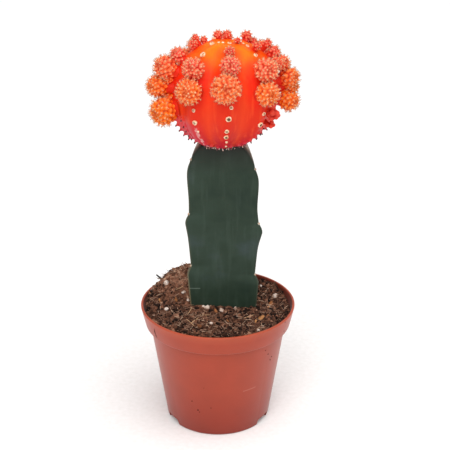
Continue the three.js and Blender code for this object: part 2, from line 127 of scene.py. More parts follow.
def closed_skins(rings, uppers, lowers):
    """Points and faces of closed skins. rings holds, for each skin, rings of points from the upper
    pole down, with columns that run counter-clockwise seen from above. Each face joins two
    neighbours on a ring to the same two on the next, and a fan closes each pole."""
    skins, count, columns = rings.shape[:3]
    size = count * columns + 2
    points = np.concatenate([uppers[:, None], rings.reshape(skins, -1, 3), lowers[:, None]], axis=1)
    row, column = np.mgrid[0 : count - 1, 0:columns]
    here, after = 1 + row * columns + column, 1 + row * columns + (column + 1) % columns
    quads = np.stack([here, here + columns, after + columns, after], -1).reshape(1, -1, 4)
    top, top_after = 1 + np.arange(columns), 1 + (np.arange(columns) + 1) % columns
    base = (count - 1) * columns
    upper_fan = np.stack([0 * top, top, top_after], -1)
    lower_fan = np.stack([0 * top + size - 1, base + top_after, base + top], -1)
    fans = np.concatenate([upper_fan, lower_fan])[None]
    shift = (np.arange(skins) * size)[:, None, None]
    return points.reshape(-1, 3), [(quads + shift).reshape(-1, 4), (fans + shift).reshape(-1, 3)]


def closed_skin(rings, upper, lower):
    """One closed skin from its rings of points and its two poles."""
    return closed_skins(rings[None], np.array([upper], float), np.array([lower], float))


def dress(obj, material):
    """Gives a piece its finish and lets it ride on the part's one body."""
    obj.data.materials.clear()
    obj.data.materials.append(material)
    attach(obj, "root")
    return obj


def bare_piece(name, skin, marks=None):
    """An object from a skin, which is points in millimetres and groups of faces. A mark is a number
    for each point or one for all, kept as an attribute for the material to read."""
    points, faces = skin
    corners = np.concatenate([group.ravel() for group in faces])
    totals = np.concatenate([np.full(len(group), group.shape[1]) for group in faces])
    mesh = bpy.data.meshes.new(name)
    mesh.vertices.add(len(points))
    mesh.vertices.foreach_set("co", (points * MM).ravel())
    mesh.loops.add(len(corners))
    mesh.loops.foreach_set("vertex_index", corners)
    mesh.polygons.add(len(totals))
    mesh.polygons.foreach_set("loop_start", np.cumsum(totals) - totals)
    mesh.polygons.foreach_set("loop_total", totals)
    mesh.update(calc_edges=True)
    mesh.shade_smooth()
    for mark, values in (marks or {}).items():
        values = np.full(len(points), values, np.float32)
        mesh.attributes.new(mark, "FLOAT", "POINT").data.foreach_set("value", values)
    obj = bpy.data.objects.new(name, mesh)
    scene.collection.objects.link(obj)
    return obj


def piece(name, skin, material, marks=None):
    """A finished piece of the plant or its pot. Its count of triangles is printed."""
    obj = dress(bare_piece(name, skin, marks), material)
    print(name, "has", sum(len(group) * (group.shape[1] - 2) for group in skin[1]), "triangles")
    return obj


# %% [markdown]
# ## Many copies of a small thing
# Warts, spines, crumbs and grains are a small shape repeated. Each copy is turned to face away from
# what it grows on. Its turn is three columns of numbers, and all the copies are moved in one sum.


# %% Helpers that set copies
# How much of a steep direction is along Z, and how far a spun copy may turn, in radians
STEEP = 0.9
FULL_SPIN = 6


def unit(vectors):
    """Vectors made one long."""
    return vectors / np.linalg.norm(vectors, axis=-1, keepdims=True)


def beside(ways):
    """For each direction an axis that lies well away from it: +Z, or +Y where it is steep."""
    return np.where(np.abs(ways[..., 2:]) > STEEP, [0.0, 1.0, 0.0], [0.0, 0.0, 1.0])


def facing(outward, spin=0):
    """Turns that take +Z to the outward directions, each after a spin about +Z."""
    up = unit(outward)
    side = unit(np.cross(beside(up), up))
    other = np.cross(up, side)
    turn, rise = np.cos(spin)[..., None], np.sin(spin)[..., None]
    return np.stack([side * turn + other * rise, other * turn - side * rise, up], -1)


def spun(ways, rng):
    """Turns that face along the ways, each spun at random."""
    return facing(ways, rng.uniform(0, FULL_SPIN, len(ways)))


def any_way(count, rng):
    """Turns that face in any direction."""
    return facing(rng.normal(size=(count, 3)), rng.uniform(0, 2 * np.pi, count))


def copies(shape, places, turns, sizes):
    """Copies of a shape. Each one's points are scaled along its own axes, turned and moved. The
    shape's points may be one set for all, or a set for each copy."""
    points, faces = shape
    moved = np.einsum("nij,nvj->nvi", turns, points * sizes[:, None, :]) + places[:, None, :]
    shift = (np.arange(len(places)) * points.shape[-2])[:, None, None]
    return moved.reshape(-1, 3), [(group[None] + shift).reshape(-1, group.shape[1]) for group in faces]


def each_point(values, shape):
    """One value a copy, repeated for each of the copy's points."""
    return np.repeat(values, shape[0].shape[-2])


def ball(rows, columns):
    """A closed unit ball: rings at even steps from pole to pole."""
    down = np.pi * (np.arange(rows) + 1)[:, None] / (rows + 1)
    return closed_skin(round_axis(np.sin(down), full_turn(columns), np.cos(down)), (0, 0, 1), (0, 0, -1))


def rough_balls(count, rng, rows, columns, jitter):
    """Unit balls whose points are moved in or out at random, so that no two are alike."""
    points, faces = ball(rows, columns)
    return points * (1 + jitter * rng.uniform(-1, 1, (count, len(points), 1))), faces


def tubes(path, radius, sides):
    """Closed tubes: at each point of a path a ring across its direction, with a radius for each
    point, and a blunt tip a radius beyond each end."""
    ways = unit(np.gradient(path, axis=1))
    across = unit(np.cross(ways, beside(ways)))
    up = np.cross(across, ways)
    turn = full_turn(sides)[:, None]
    out = across[:, :, None] * np.cos(turn) + up[:, :, None] * np.sin(turn)
    rings = path[:, :, None] + out * radius[:, :, None, None]
    first, last = ways[:, 0] * radius[:, :1], ways[:, -1] * radius[:, -1:]
    return closed_skins(rings, path[:, 0] - first, path[:, -1] + last)


# %% [markdown]
# ## Materials
# A material is a small net of nodes. One helper adds a node, sets what it is told and links it.
# Colours are written as on a colour chart and turned to linear light, and the size of each pattern
# is a real size in millimetres. Three steps that many of the materials share come after it: a tint
# laid over a colour, noise drawn out along the plant, and a straight scratch.


# %% Helpers that make materials
def linear(chart):
    """A chart colour, as six hex digits, in linear light with full alpha. The curve is that of the
    sRGB standard."""
    parts = np.array(list(bytes.fromhex(chart))) / 255
    light = np.where(parts <= 0.04045, parts / 12.92, ((parts + 0.055) / 1.055) ** 2.4)
    return (*light.tolist(), 1.0)


def add_node(material, kind, inputs=None, out=0, stops=None, **settings):
    """Adds a node to a material and gives one of its outputs. An input is a plain value, or another
    node's output to be linked. Stops are a ramp's positions and chart colours."""
    made = material.node_tree.nodes.new("ShaderNode" + kind)
    for name, value in settings.items():
        setattr(made, name, value)
    for name, value in (inputs or {}).items():
        if isinstance(value, bpy.types.NodeSocket):
            material.node_tree.links.new(value, made.inputs[name])
        else:
            made.inputs[name].default_value = value
    if stops:
        while len(made.color_ramp.elements) < len(stops):
            made.color_ramp.elements.new(1)
        for element, (position, chart) in zip(made.color_ramp.elements, stops):
            element.position = position
            element.color = linear(chart)
    return made.outputs[out]


def start(name, **values):
    """A new material with values on its shader's own sockets. Gives the material, its own function
    that adds nodes, and the object's own coordinates."""
    material = bpy.data.materials.new(name)
    material.use_nodes = True
    for socket, value in values.items():
        material.node_tree.nodes["Principled BSDF"].inputs[socket.replace("_", " ")].default_value = value
    add = functools.partial(add_node, material)
    return material, add, add("TexCoord", out="Object")


def paint(material, colour, relief, strength, depth, **more):
    """Joins a colour to a material's shader, and a relief as bumps of a depth in millimetres."""
    shader = material.node_tree.nodes["Principled BSDF"]
    bumps = {"Height": relief, "Strength": strength, "Distance": depth * MM, **more}
    material.node_tree.links.new(colour, shader.inputs["Base Color"])
    material.node_tree.links.new(add_node(material, "Bump", bumps), shader.inputs["Normal"])
    return material


def per(size):
    """The scale of a pattern whose repeat is a size in millimetres."""
    return 1 / (size * MM)


# %% Steps that materials share
def tinted(add, colour, tint, amount, low=0, high=1, most=1):
    """A colour with a tint over it: none where the amount is low, and the most of it where the
    amount is high. The tint is a chart colour or another node's output."""
    share = add("MapRange", {"Value": amount, "From Min": low, "From Max": high, "To Max": most})
    tint = linear(tint) if isinstance(tint, str) else tint
    # A colour mix takes its share at socket 0 and its colours at 6 and 7, and gives a colour at 2
    return add("Mix", {0: share, 6: colour, 7: tint}, out=2, data_type="RGBA")


def streaked(add, place, across, along, detail):
    """Noise in patches of one size across the Z axis and another along it, in millimetres."""
    drawn_out = add("Mapping", {"Vector": place, "Scale": (per(across), per(across), per(along))})
    return add("TexNoise", {"Vector": drawn_out, "Scale": 1, "Detail": detail})


def scratched(add, place, colour, chart, share, middle, tilt, reach):
    """A colour crossed by a straight scratch of a chart colour: a share of it wherever the place, less
    the middle, turned back by the tilt and divided by the reach, is less than one along X, Y and Z."""
    box = {
        "Location": [MM * part for part in middle],
        "Rotation": (0, -math.radians(tilt), 0),
        "Scale": [MM * part for part in reach],
    }
    local = add("Mapping", {"Vector": place, **box}, vector_type="TEXTURE")
    for axis in "XYZ":
        away = add("SeparateXYZ", {"Vector": local}, out=axis)
        near = add("Math", {0: away, 1: 0, 2: 1}, operation="COMPARE")
        share = add("Math", {0: share, 1: near}, operation="MULTIPLY")
    return tinted(add, colour, chart, share)


# %% [markdown]
# ## The pot
# The pot is a thin nursery pot, injection-moulded in terracotta-coloured polypropylene. It is a
# turned shape with a wide band at the rim, a raised panel in the floor, three foot notches and drain
# holes. The outline is turned round the axis, its corners softened as a mould's are, and the inside,
# the notches and the holes are then cut away with Boolean modifiers, as the CAD does it. The points
# of the inside carry a mark, for the painted shade that darkens the inside.

# %% Sizes of the pot
RIM_RADIUS, _, POT_HEIGHT = node_box("pot")[1]
BAND_FOOT_RADIUS = 30.5
BAND_FOOT_HEIGHT = 43.4
WALL_TOP_RADIUS = 28.5
WALL_TOP = BAND_FOOT_HEIGHT - 0.8
FOOT_RADIUS = 22
FOOT_ROUNDING = 0.8
POT_WALL = 0.9
RIM_LIP = 1.3
RIM_ROUNDING = 0.35
# How far below the rim the bevel of the mouth starts, and the clearance that is kept between solids
MOUTH_STEP = 0.1
GAP = 0.3
PANEL_RADIUS = 13.2
PANEL_RISE = 1.2
PANEL_BEVEL = 0.4
POT_FLOOR = PANEL_RISE + POT_WALL
NOTCH_TURNS = (-60, 60, 180)
NOTCH_WIDTH_BELOW = 9.5
NOTCH_WIDTH_ABOVE = 7.5
NOTCH_HEIGHT = 2.6
NOTCH_INNER_RADIUS = 16.5
NOTCH_OVERRUN = 3
WALL_HOLE_RADIUS = 2
WALL_HOLE_PLACE = 18.8
PANEL_HOLE_RADIUS = 2.2
PANEL_HOLE_PLACE = 8
# How far round from a notch the panel's holes lie, in degrees
HOLE_TURN = 60
HOLE_SIDES = 40
POT_SIDES = 180
SOFTENING_STEPS = 4


def around(turn, radius):
    """The X and Y of a point at a turn in degrees from the viewer's side, positive to the right."""
    return radius * np.sin(np.radians(turn)), -radius * np.cos(np.radians(turn))


def soften(outline):
    """An outline of (radius, height, rounding) corners with each corner eased: the curve leaves the
    line a rounding before the corner and joins the next a rounding past it, drawn as a parabola."""
    corners = np.array(outline, float)
    eased = []
    for before, corner, after in zip(corners, corners[1:], corners[2:]):
        reach = corner[2]
        back = corner[:2] + unit(before[:2] - corner[:2]) * reach
        ahead = corner[:2] + unit(after[:2] - corner[:2]) * reach
        share = np.linspace(0, 1, SOFTENING_STEPS + 1 if reach else 1)[:, None]
        eased.append((1 - share) ** 2 * back + 2 * share * (1 - share) * corner[:2] + share**2 * ahead)
    return np.vstack(eased)


def turned(outline, sides):
    """A closed skin of revolution from an outline that runs from the axis down to the axis."""
    eased = soften(outline)
    rings = round_axis(eased[:, :1], full_turn(sides), eased[:, 1:])
    return closed_skin(rings, (0, 0, outline[0][1]), (0, 0, outline[-1][1]))


def outer_radius(height):
    """The pot's outside radius at a height."""
    heights = [0, WALL_TOP, BAND_FOOT_HEIGHT, POT_HEIGHT]
    return np.interp(height, heights, [FOOT_RADIUS, WALL_TOP_RADIUS, BAND_FOOT_RADIUS, RIM_RADIUS])


def inner_radius(height):
    """The pot's inside radius at a height."""
    step = WALL_TOP - POT_WALL / 2
    wall = np.interp(step, [0, WALL_TOP], [FOOT_RADIUS, WALL_TOP_RADIUS])
    radii = [FOOT_RADIUS - POT_WALL, wall - POT_WALL, BAND_FOOT_RADIUS - POT_WALL, RIM_RADIUS - RIM_LIP]
    return np.interp(height, [0, step, BAND_FOOT_HEIGHT, POT_HEIGHT], radii)


# %% Cut the pot
def notch_block(turn, growth):
    """A foot notch as a closed block: an upright trapezium carried inward from outside the foot."""
    below, above = NOTCH_WIDTH_BELOW / 2 + growth, NOTCH_WIDTH_ABOVE / 2 + growth
    top = NOTCH_HEIGHT + growth
    face = [(-below, -POT_WALL), (below, -POT_WALL), (above, top), (-above, top)]
    depths = (FOOT_RADIUS + NOTCH_OVERRUN, NOTCH_INNER_RADIUS - growth)
    points = np.array([(x, -depth, z) for depth in depths for x, z in face])
    turns = np.array(mathutils.Matrix.Rotation(math.radians(turn), 3, "Z"))
    # The block's corners are numbered 0 to 3 on its outer face and 4 to 7 on its inner one
    sides = [(0, 4, 5, 1), (1, 5, 6, 2), (2, 6, 7, 3), (3, 7, 4, 0), (0, 1, 2, 3), (7, 6, 5, 4)]
    return bare_piece("notch", (points @ turns.T, [np.array(sides)]))


def drain_rod(radius, place, high):
    """An upright rod through the floor."""
    points, faces = turned([(0, high, 0), (radius, high, 0), (radius, -1, 0), (0, -1, 0)], HOLE_SIDES)
    return bare_piece("rod", (points + [*place, 0], faces))


def cut_away(target, cutters):
    """Takes closed shapes from a piece with Boolean modifiers and keeps the result as its mesh."""
    for cutter in cutters:
        step = target.modifiers.new("cut", "BOOLEAN")
        step.operation = "DIFFERENCE"
        step.solver = "EXACT"
        step.object = cutter
    graph = bpy.context.evaluated_depsgraph_get()
    result = bpy.data.meshes.new_from_object(target.evaluated_get(graph))
    target.modifiers.clear()
    target.data = result
    for cutter in cutters:
        bpy.data.objects.remove(cutter)


# Each corner's radius, height and rounding, from the top of the axis down and back to the axis
OUTSIDE = [
    (0, POT_HEIGHT, 0),
    (RIM_RADIUS, POT_HEIGHT, 0.55),
    (BAND_FOOT_RADIUS, BAND_FOOT_HEIGHT, 0.45),
    (WALL_TOP_RADIUS, WALL_TOP, 0.3),
    (FOOT_RADIUS, 0, FOOT_ROUNDING),
    (PANEL_RADIUS + PANEL_BEVEL, 0, 0.2),
    (PANEL_RADIUS, PANEL_RISE, 0.2),
    (0, PANEL_RISE, 0),
]
INSIDE = [
    (0, POT_HEIGHT + RIM_LIP, 0),
    (RIM_RADIUS - RIM_LIP + RIM_ROUNDING, POT_HEIGHT + RIM_LIP, 0),
    (RIM_RADIUS - RIM_LIP + RIM_ROUNDING, POT_HEIGHT - MOUTH_STEP, 0),
    (RIM_RADIUS - RIM_LIP, POT_HEIGHT - 2 * RIM_ROUNDING, 0.3),
    (BAND_FOOT_RADIUS - POT_WALL, BAND_FOOT_HEIGHT, 0.3),
    (inner_radius(WALL_TOP - POT_WALL / 2), WALL_TOP - POT_WALL / 2, 0.3),
    (inner_radius(POT_FLOOR), POT_FLOOR, FOOT_ROUNDING),
    (0, POT_FLOOR, 0),
]
SHARPEST_SMOOTH_ANGLE = math.radians(38)

pot = bare_piece("nursery_pot", turned(OUTSIDE, POT_SIDES))
room = bare_piece("room", turned(INSIDE, POT_SIDES))
cut_away(room, [notch_block(turn, POT_WALL) for turn in NOTCH_TURNS])
rods = []
for turn in NOTCH_TURNS:
    rods.append(drain_rod(WALL_HOLE_RADIUS, around(turn, WALL_HOLE_PLACE), 2 * NOTCH_HEIGHT))
    rods.append(drain_rod(PANEL_HOLE_RADIUS, around(turn + HOLE_TURN, PANEL_HOLE_PLACE), 2 * POT_FLOOR))
cut_away(pot, [notch_block(turn, 0) for turn in NOTCH_TURNS] + [room] + rods)
pot.data.shade_smooth()
pot.data.set_sharp_from_angle(angle=SHARPEST_SMOOTH_ANGLE)
print("the pot has", len(pot.data.polygons), "faces")

# %% Mark the inside of the pot
WALL_SLACK = 0.05

spots = np.empty(3 * len(pot.data.vertices), np.float32)
pot.data.vertices.foreach_get("co", spots)
x, y, z = spots.reshape(-1, 3).T / MM
behind_wall = np.hypot(x, y) < outer_radius(z) - POT_WALL + WALL_SLACK
between_ends = (z > NOTCH_HEIGHT + POT_WALL) & (z < POT_HEIGHT - RIM_ROUNDING / 2)
# This mark is for painted shade: the material darkens the inside of the pot by it.
tones = (behind_wall & between_ends).astype(np.float32)
pot.data.attributes.new("inside", "FLOAT", "POINT").data.foreach_set("value", tones)
print(round(100 * float(tones.mean())), "% of the pot's points are inside")

# %% [markdown]
# Polypropylene, moulded against a polished tool and then handled: a satin skin with soft
# highlights. Light that grazes it at the sides turns pale, because white surroundings mirror in it.
# The colour is a brick red that is a little darker and redder low down, with faint clouding from
# how the melt ran and a fine ripple from the mould. A faint scuff crosses the front, and painted
# shade darkens the inside.

# %% Polypropylene
# The middle of the scuff on the pot, its tilt in degrees, and its reach each way
POT_SCUFF = (13.1, -21, 22.2), 4, (2.6, 5, 0.25)


def polypropylene():
    """Brick-red satin plastic: a height ramp, clouds 9 mm across, a ripple of 0.8 mm, one scuff, and
    painted shade by the mark inside."""
    satin = {"Roughness": 0.42, "Specular_IOR_Level": 0.42, "Sheen_Weight": 0.12, "Sheen_Roughness": 0.4}
    material, add, place = start("satin_polypropylene", IOR=1.49, **satin)
    height = add("SeparateXYZ", {"Vector": place}, out="Z")
    share = add("MapRange", {"Value": height, "From Min": 0, "From Max": POT_HEIGHT * MM})
    bricks = [(0, "86240a"), (0.16, "90290c"), (0.45, "9e3517"), (0.93, "a2381b"), (1, "ac4628")]
    colour = add("ValToRGB", {"Fac": share}, stops=bricks)
    clouds = add("TexNoise", {"Vector": place, "Scale": per(9), "Detail": 3})
    cloudy = {"Value": clouds, "From Min": 0.3, "From Max": 0.7, "To Min": 0.94, "To Max": 1.05}
    colour = add("HueSaturation", {"Color": colour, "Value": add("MapRange", cloudy)})
    colour = scratched(add, place, colour, "d8a090", 0.16, *POT_SCUFF)
    # Painted shade: the inside of the pot, by its mark, darkens towards a dark brown.
    tone_share = add("Attribute", out="Fac", attribute_name="inside")
    colour = tinted(add, colour, "4c1c10", tone_share, most=0.7)
    # The mould's polish marks are too fine to show, so they are drawn as a ripple of 0.8 mm
    ripple = add("TexNoise", {"Vector": place, "Scale": per(0.8), "Detail": 2})
    return paint(material, colour, ripple, 0.12, 0.1)


dress(pot, polypropylene())
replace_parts(pot, "pot")

# %% [markdown]
# ## The stock
# The stock is a length of a three-sided cactus. Its rib edges swell at each areole, the flat side
# faces the viewer, and the grower shaved the three edges back at the top so that they wouldn't
# outgrow the graft. Its radius at each angle and height is a soft least of three faces, the rounded
# rib edges and the shaving cuts. How deep the knife went is kept as a mark, for the corky scar.

# %% Sizes of the stock
STOCK_X = 2.2
STOCK_Y = 1.75
STOCK_FOOT = node_box("rootstock")[0][2]
STOCK_TOP = node_box("rootstock")[1][2]
FACE_DISTANCE = 8.6
RIB_RADIUS = 18.2
FACE_HOLLOW = 1.1
FACE_HALF_WIDTH = 60
HOLLOW_SHARPNESS = 1.5
RIB_TURNS = (-150, -30, 90)
SHAVE_TURNS = (-168, -12, 90)
SHAVES_AT_TOP = (7.3, 6, 7)
SHAVE_GROWTH = 2.6
EDGE_SHARPNESS = 13
CUT_SHARPNESS = 20
NODE_SPACING = 23
NODE_BULGE = 1.7
NODE_RISE_SHARE = 0.18
NODE_NARROWNESS = 12
NODE_HEIGHTS = (94.4, 90.4, 101)
# How much further each rib's node at that height stands out, how far its middle is below the
# areole, and how far up and down it runs
NODE_EXTRAS = (0.7, 1.6, 0)
EXTRA_DROP = 2
EXTRA_SPREAD = 6
NODE_TILT = 0.4
HIGHEST_NODE = 118
LOWEST_NODE = 58
# Stands in for the cosine of a cut that faces away, because a reach is divided by it
LEAST_COSINE = 1e-6


def rib_swell(node_height, extra, height):
    """How far a rib stands out: a quick quarter wave at each areole and a slow slope down from it,
    less half so that it swings about the rib's own radius, and a bell-shaped swell at one node."""
    below = (node_height - height) / NODE_SPACING
    phase = below - np.floor(below)
    rise = np.sin(phase / NODE_RISE_SHARE * np.pi / 2)
    fall = (1 - phase) / (1 - NODE_RISE_SHARE)
    bell = np.exp(-(((node_height - EXTRA_DROP - height) / EXTRA_SPREAD) ** 2))
    return NODE_BULGE * (np.where(phase < NODE_RISE_SHARE, rise, fall) - 0.5) + extra * bell


def stock_radius(angle, height):
    """The stock's radius at an angle from +X, and how deep the knife cut there. The faces and edges
    meet as a power mean, the swell and the hollow are added, and the cuts are met the same way."""
    inverse = np.full(np.broadcast(angle, height).shape, (1 / RIB_RADIUS) ** EDGE_SHARPNESS)
    swell, hollow = 0, 0
    rib_face = math.cos(math.radians(FACE_HALF_WIDTH))
    for rib_turn, node_height, extra in zip(RIB_TURNS, NODE_HEIGHTS, NODE_EXTRAS):
        face = np.cos(angle - math.radians(rib_turn + FACE_HALF_WIDTH))
        inverse = inverse + (np.maximum(face, 0) / FACE_DISTANCE) ** EDGE_SHARPNESS
        from_edge = np.maximum((face - rib_face) / (1 - rib_face), 0)
        hollow = hollow + FACE_HOLLOW * from_edge**HOLLOW_SHARPNESS
        near = np.maximum(np.cos(angle - math.radians(rib_turn)), 0)
        swell = swell + rib_swell(node_height, extra, height) * near**NODE_NARROWNESS
    uncut = inverse ** (-1 / EDGE_SHARPNESS) + swell - hollow
    shaved = (1 / uncut) ** CUT_SHARPNESS
    nearest_cut = np.full(uncut.shape, np.inf)
    for turn, at_top in zip(SHAVE_TURNS, SHAVES_AT_TOP):
        reach = at_top + SHAVE_GROWTH * np.sqrt(np.maximum(STOCK_TOP - height, 0))
        across = np.maximum(np.cos(angle - math.radians(turn)), LEAST_COSINE)
        shaved = shaved + (across / reach) ** CUT_SHARPNESS
        nearest_cut = np.minimum(nearest_cut, reach / across)
    return shaved ** (-1 / CUT_SHARPNESS), uncut - nearest_cut


def on_stock(angle, height, radius):
    """A point at an angle, height and radius from the stock's own axis."""
    return round_axis(radius, angle, height) + [STOCK_X, STOCK_Y, 0]


# %% Build the stock
STOCK_COLUMNS = 228
STOCK_ROWS = 190
TOP_CROWDING = 1.25
TOP_ROUNDING = 0.35
CUT_RANGE = -3, 9

angle = full_turn(STOCK_COLUMNS)[None, :]
depth = (np.linspace(0, 1, STOCK_ROWS) ** TOP_CROWDING)[:, None] * (STOCK_TOP - STOCK_FOOT)
height = STOCK_TOP - depth
radius, cut = stock_radius(angle, height)
radius = radius - TOP_ROUNDING * np.exp(-depth / TOP_ROUNDING)
ends = (STOCK_X, STOCK_Y, STOCK_TOP), (STOCK_X, STOCK_Y, STOCK_FOOT)
stock = closed_skin(on_stock(angle, height, radius), *ends)
edge = np.max([np.cos(angle - math.radians(turn)) + 0 * height for turn in RIB_TURNS], axis=0)
marks = {
    "cut": np.pad(np.clip(cut, *CUT_RANGE).ravel(), 1, constant_values=CUT_RANGE[0]),
    "edge": np.pad(edge.ravel(), 1),
}
print("the stock is", round(float(radius.max()), 1), "mm from its axis at most")

# %% [markdown]
# Cactus skin is a thick cuticle with a thin bloom of wax. That gives a dark, slightly blue green
# with a broad soft sheen. Where the skin has aged it is scuffed with pale lengthwise streaks, and
# there is one scratch across it low down at the left. The knife left a scar that healed to cork: a
# pale grey-tan strip with a brown margin. The rib edges are paler still near the peat, where they
# have rubbed and dried out. The skin darkens to nearly black towards the graft: some browning, and
# painted shade under the globe.


# %% Cactus cuticle and cork
# The middle of the scratch on the stock, its tilt in degrees, and its reach each way
STOCK_SCRATCH = (-9.5, -7, 61.5), 0, (2.3, 1.6, 0.22)


def stock_skin():
    """Waxy green: clouds 14 mm across, streaks 2.2 by 18 mm, cork by the marks cut and edge."""
    material, add, place = start("waxy_stock_cuticle", Roughness=0.5, IOR=1.45, Specular_IOR_Level=0.25)
    x, y, z = (add("SeparateXYZ", {"Vector": place}, out=axis) for axis in "XYZ")
    clouds = add("TexNoise", {"Vector": place, "Scale": per(14), "Detail": 4})
    greens = [(0.3, "1c2c22"), (0.48, "263529"), (0.6, "2b3a2f"), (0.75, "34413e")]
    skin = add("ValToRGB", {"Fac": clouds}, stops=greens)
    streaks = streaked(add, place, 2.2, 18, 3)
    skin = tinted(add, skin, "56655a", streaks, low=0.52, high=0.8, most=0.16)
    # Browning and painted shade under the globe: the top 13 mm darken towards nearly black.
    skin = tinted(add, skin, "1b1a16", z, low=(STOCK_TOP - 13) * MM, high=(STOCK_TOP - 2) * MM, most=0.75)
    skin = scratched(add, place, skin, "7d8b80", 0.35, *STOCK_SCRATCH)

    edge = add("Attribute", out="Fac", attribute_name="edge")
    rubbed = {"Value": z, "From Min": 63 * MM, "From Max": 74 * MM, "To Min": 0.9, "To Max": 0.2}
    leftward = {"Value": x, "From Min": -4 * MM, "From Max": 8 * MM, "To Min": 1, "To Max": 0.15}
    factors = {0: add("MapRange", rubbed), 1: add("MapRange", leftward)}
    most = add("Math", factors, operation="MULTIPLY")
    skin = tinted(add, skin, "82765a", edge, low=0.9991, most=most)

    ragged = add("TexNoise", {"Vector": place, "Scale": per(2.2), "Detail": 4})
    cut = add("Attribute", out="Fac", attribute_name="cut")
    scar = add("Math", {0: cut, 1: ragged}, operation="ADD")
    back = add("MapRange", {"Value": y, "From Min": -6 * MM, "From Max": -1 * MM})
    back = add("Math", {0: ragged, 1: 0.5, 2: back}, operation="MULTIPLY_ADD")
    corks = [(0.3, "2b2b22"), (0.55, "493428"), (0.8, "857563"), (1, "b3ab9d")]
    skin = tinted(add, skin, add("ValToRGB", {"Fac": back}, stops=corks), scar, low=1.2, high=1.9)
    cracks = add("Bump", {"Height": ragged, "Strength": 0.25, "Distance": 0.3 * MM})
    return paint(material, skin, streaks, 0.2, 0.2, Normal=cracks)


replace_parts(piece("stock_skin", stock, stock_skin(), marks), "rootstock")

# %% [markdown]
# ## The peat
# The pot is filled to just under its rim with coarse peat, which is heaped up at the back left,
# mounded a little round the stock, banked against its right rib and drifted at the back. The bed
# itself is one closed skin, rings of points inside the pot, whose height is the sum of the level,
# those hills and smooth random lumps of several sizes.

# %% Sizes of the peat
PEAT_FLOOR = node_box("soil")[0][2]
PEAT_LEVEL = 49.7
PEAT_SLOPE = 0.02
# The hills on the peat: the X and Y of each one's middle, its height and its spread
MOUND = (STOCK_X, STOCK_Y, 3.2, 17)
HEAP = (-12.3, 12, 11, 13.7)
BANK = (15, -8, 1.7, 7)
DRIFTS = ((-25, 14, 2, 8), (-12.5, 14, 1, 4), (22, 17, 2.3, 9))
# How high the heap may be at the rim, and the share of the radius from which it is cut down
HEAP_EDGE_LEVEL = 3.6
EDGE_ZONE = 0.75
PEAT_GAP = 0.05
PEAT_RADIUS = inner_radius(PEAT_LEVEL - 1) - PEAT_GAP
# Each size of lump with its height, and how many corners a side the lumps' lattice has
LUMPS = ((5.5, 0.5), (2.4, 0.5), (1.1, 0.34), (0.6, 0.16))
LATTICE = 97


def smooth_step(share):
    """A share from 0 to 1, eased at both ends."""
    share = np.clip(share, 0, 1)
    return share * share * (3 - 2 * share)


def lumps(x, y, size, seed):
    """Smooth random hills of a size: numbers at the corners of a square lattice, blended from each
    corner to the next by the smooth step of the way between them."""
    corners = np.random.default_rng(seed).uniform(-1, 1, (LATTICE, LATTICE))
    left, low = np.floor(x / size).astype(int), np.floor(y / size).astype(int)
    across, up = smooth_step(x / size - left), smooth_step(y / size - low)
    left, low, right, high = left % LATTICE, low % LATTICE, (left + 1) % LATTICE, (low + 1) % LATTICE
    lower = corners[left, low] * (1 - across) + corners[right, low] * across
    upper = corners[left, high] * (1 - across) + corners[right, high] * across
    return lower * (1 - up) + upper * up


def peat_lumps(x, y):
    """The lumps of all sizes together, in millimetres."""
    return sum(height * lumps(x, y, size, seed) for seed, (size, height) in enumerate(LUMPS))


def hill(x, y, middle_x, middle_y, high, spread):
    """A bell-shaped hill."""
    return high * np.exp(-((x - middle_x) ** 2 + (y - middle_y) ** 2) / spread**2)


def peat_top(x, y):
    """The height of the peat: its level, the hills and the lumps. Near the rim the heap is cut low
    and the lumps are halved."""
    edge = smooth_step((np.hypot(x, y) / RIM_RADIUS - EDGE_ZONE) / (1 - EDGE_ZONE))
    heap = hill(x, y, *HEAP) * (1 - edge + edge * HEAP_EDGE_LEVEL / HEAP[2])
    hills = heap + sum(hill(x, y, *place) for place in (MOUND, BANK, *DRIFTS))
    return PEAT_LEVEL - PEAT_SLOPE * (x + y) + hills + peat_lumps(x, y) * (1 - edge / 2)


# %% Build the peat bed
BED_COLUMNS = 440
BED_RINGS = 96
INNERMOST = 0.5
# Below its top the bed follows the pot's wall through some levels to a narrower floor
NARROW_FLOOR = 15.4
LOWEST_WALL = NOTCH_HEIGHT + POT_WALL + 0.2
SKIRT_LEVELS = (47.5, BAND_FOOT_HEIGHT, WALL_TOP - POT_WALL, 30, 15, LOWEST_WALL)
BED_SHADE, LUMP_SHADE = 0.27, 0.16


def on_peat(x, y, lift=0):
    """Points on the peat, or lifted off it."""
    return np.stack([x, y, peat_top(x, y) + lift], -1)


turn = full_turn(BED_COLUMNS)
out = np.linspace(INNERMOST, PEAT_RADIUS, BED_RINGS)[:, None]
skirt = [(inner_radius(level) - PEAT_GAP, level) for level in SKIRT_LEVELS] + [(NARROW_FLOOR, PEAT_FLOOR)]
rings = [on_peat(out * np.cos(turn), out * np.sin(turn))]
rings += [round_axis(radius, turn, level)[None] for radius, level in skirt]
bed = closed_skin(np.concatenate(rings), (0, 0, peat_top(0.0, 0.0)), (0, 0, PEAT_FLOOR))
bed_marks = {"shade": BED_SHADE + LUMP_SHADE * peat_lumps(*bed[0].T[:2])}
print("the peat's highest point is at", round(float(rings[0][..., 2].max()), 1), "mm")

# %% [markdown]
# Peat is half-rotted moss and wood, so it is a mix: nearly black crumbs, mid browns and a few paler
# bits, all dull and rough. It is paler and redder up on the heap, which has dried. One material
# serves the bed and its crumbs. It reads how light each spot is from the mark shade and mottles that
# with fine noise.

# %% Peat material
DRY_SHADE = 0.5
DRY_FROM, DRY_TO = 50.5, 60


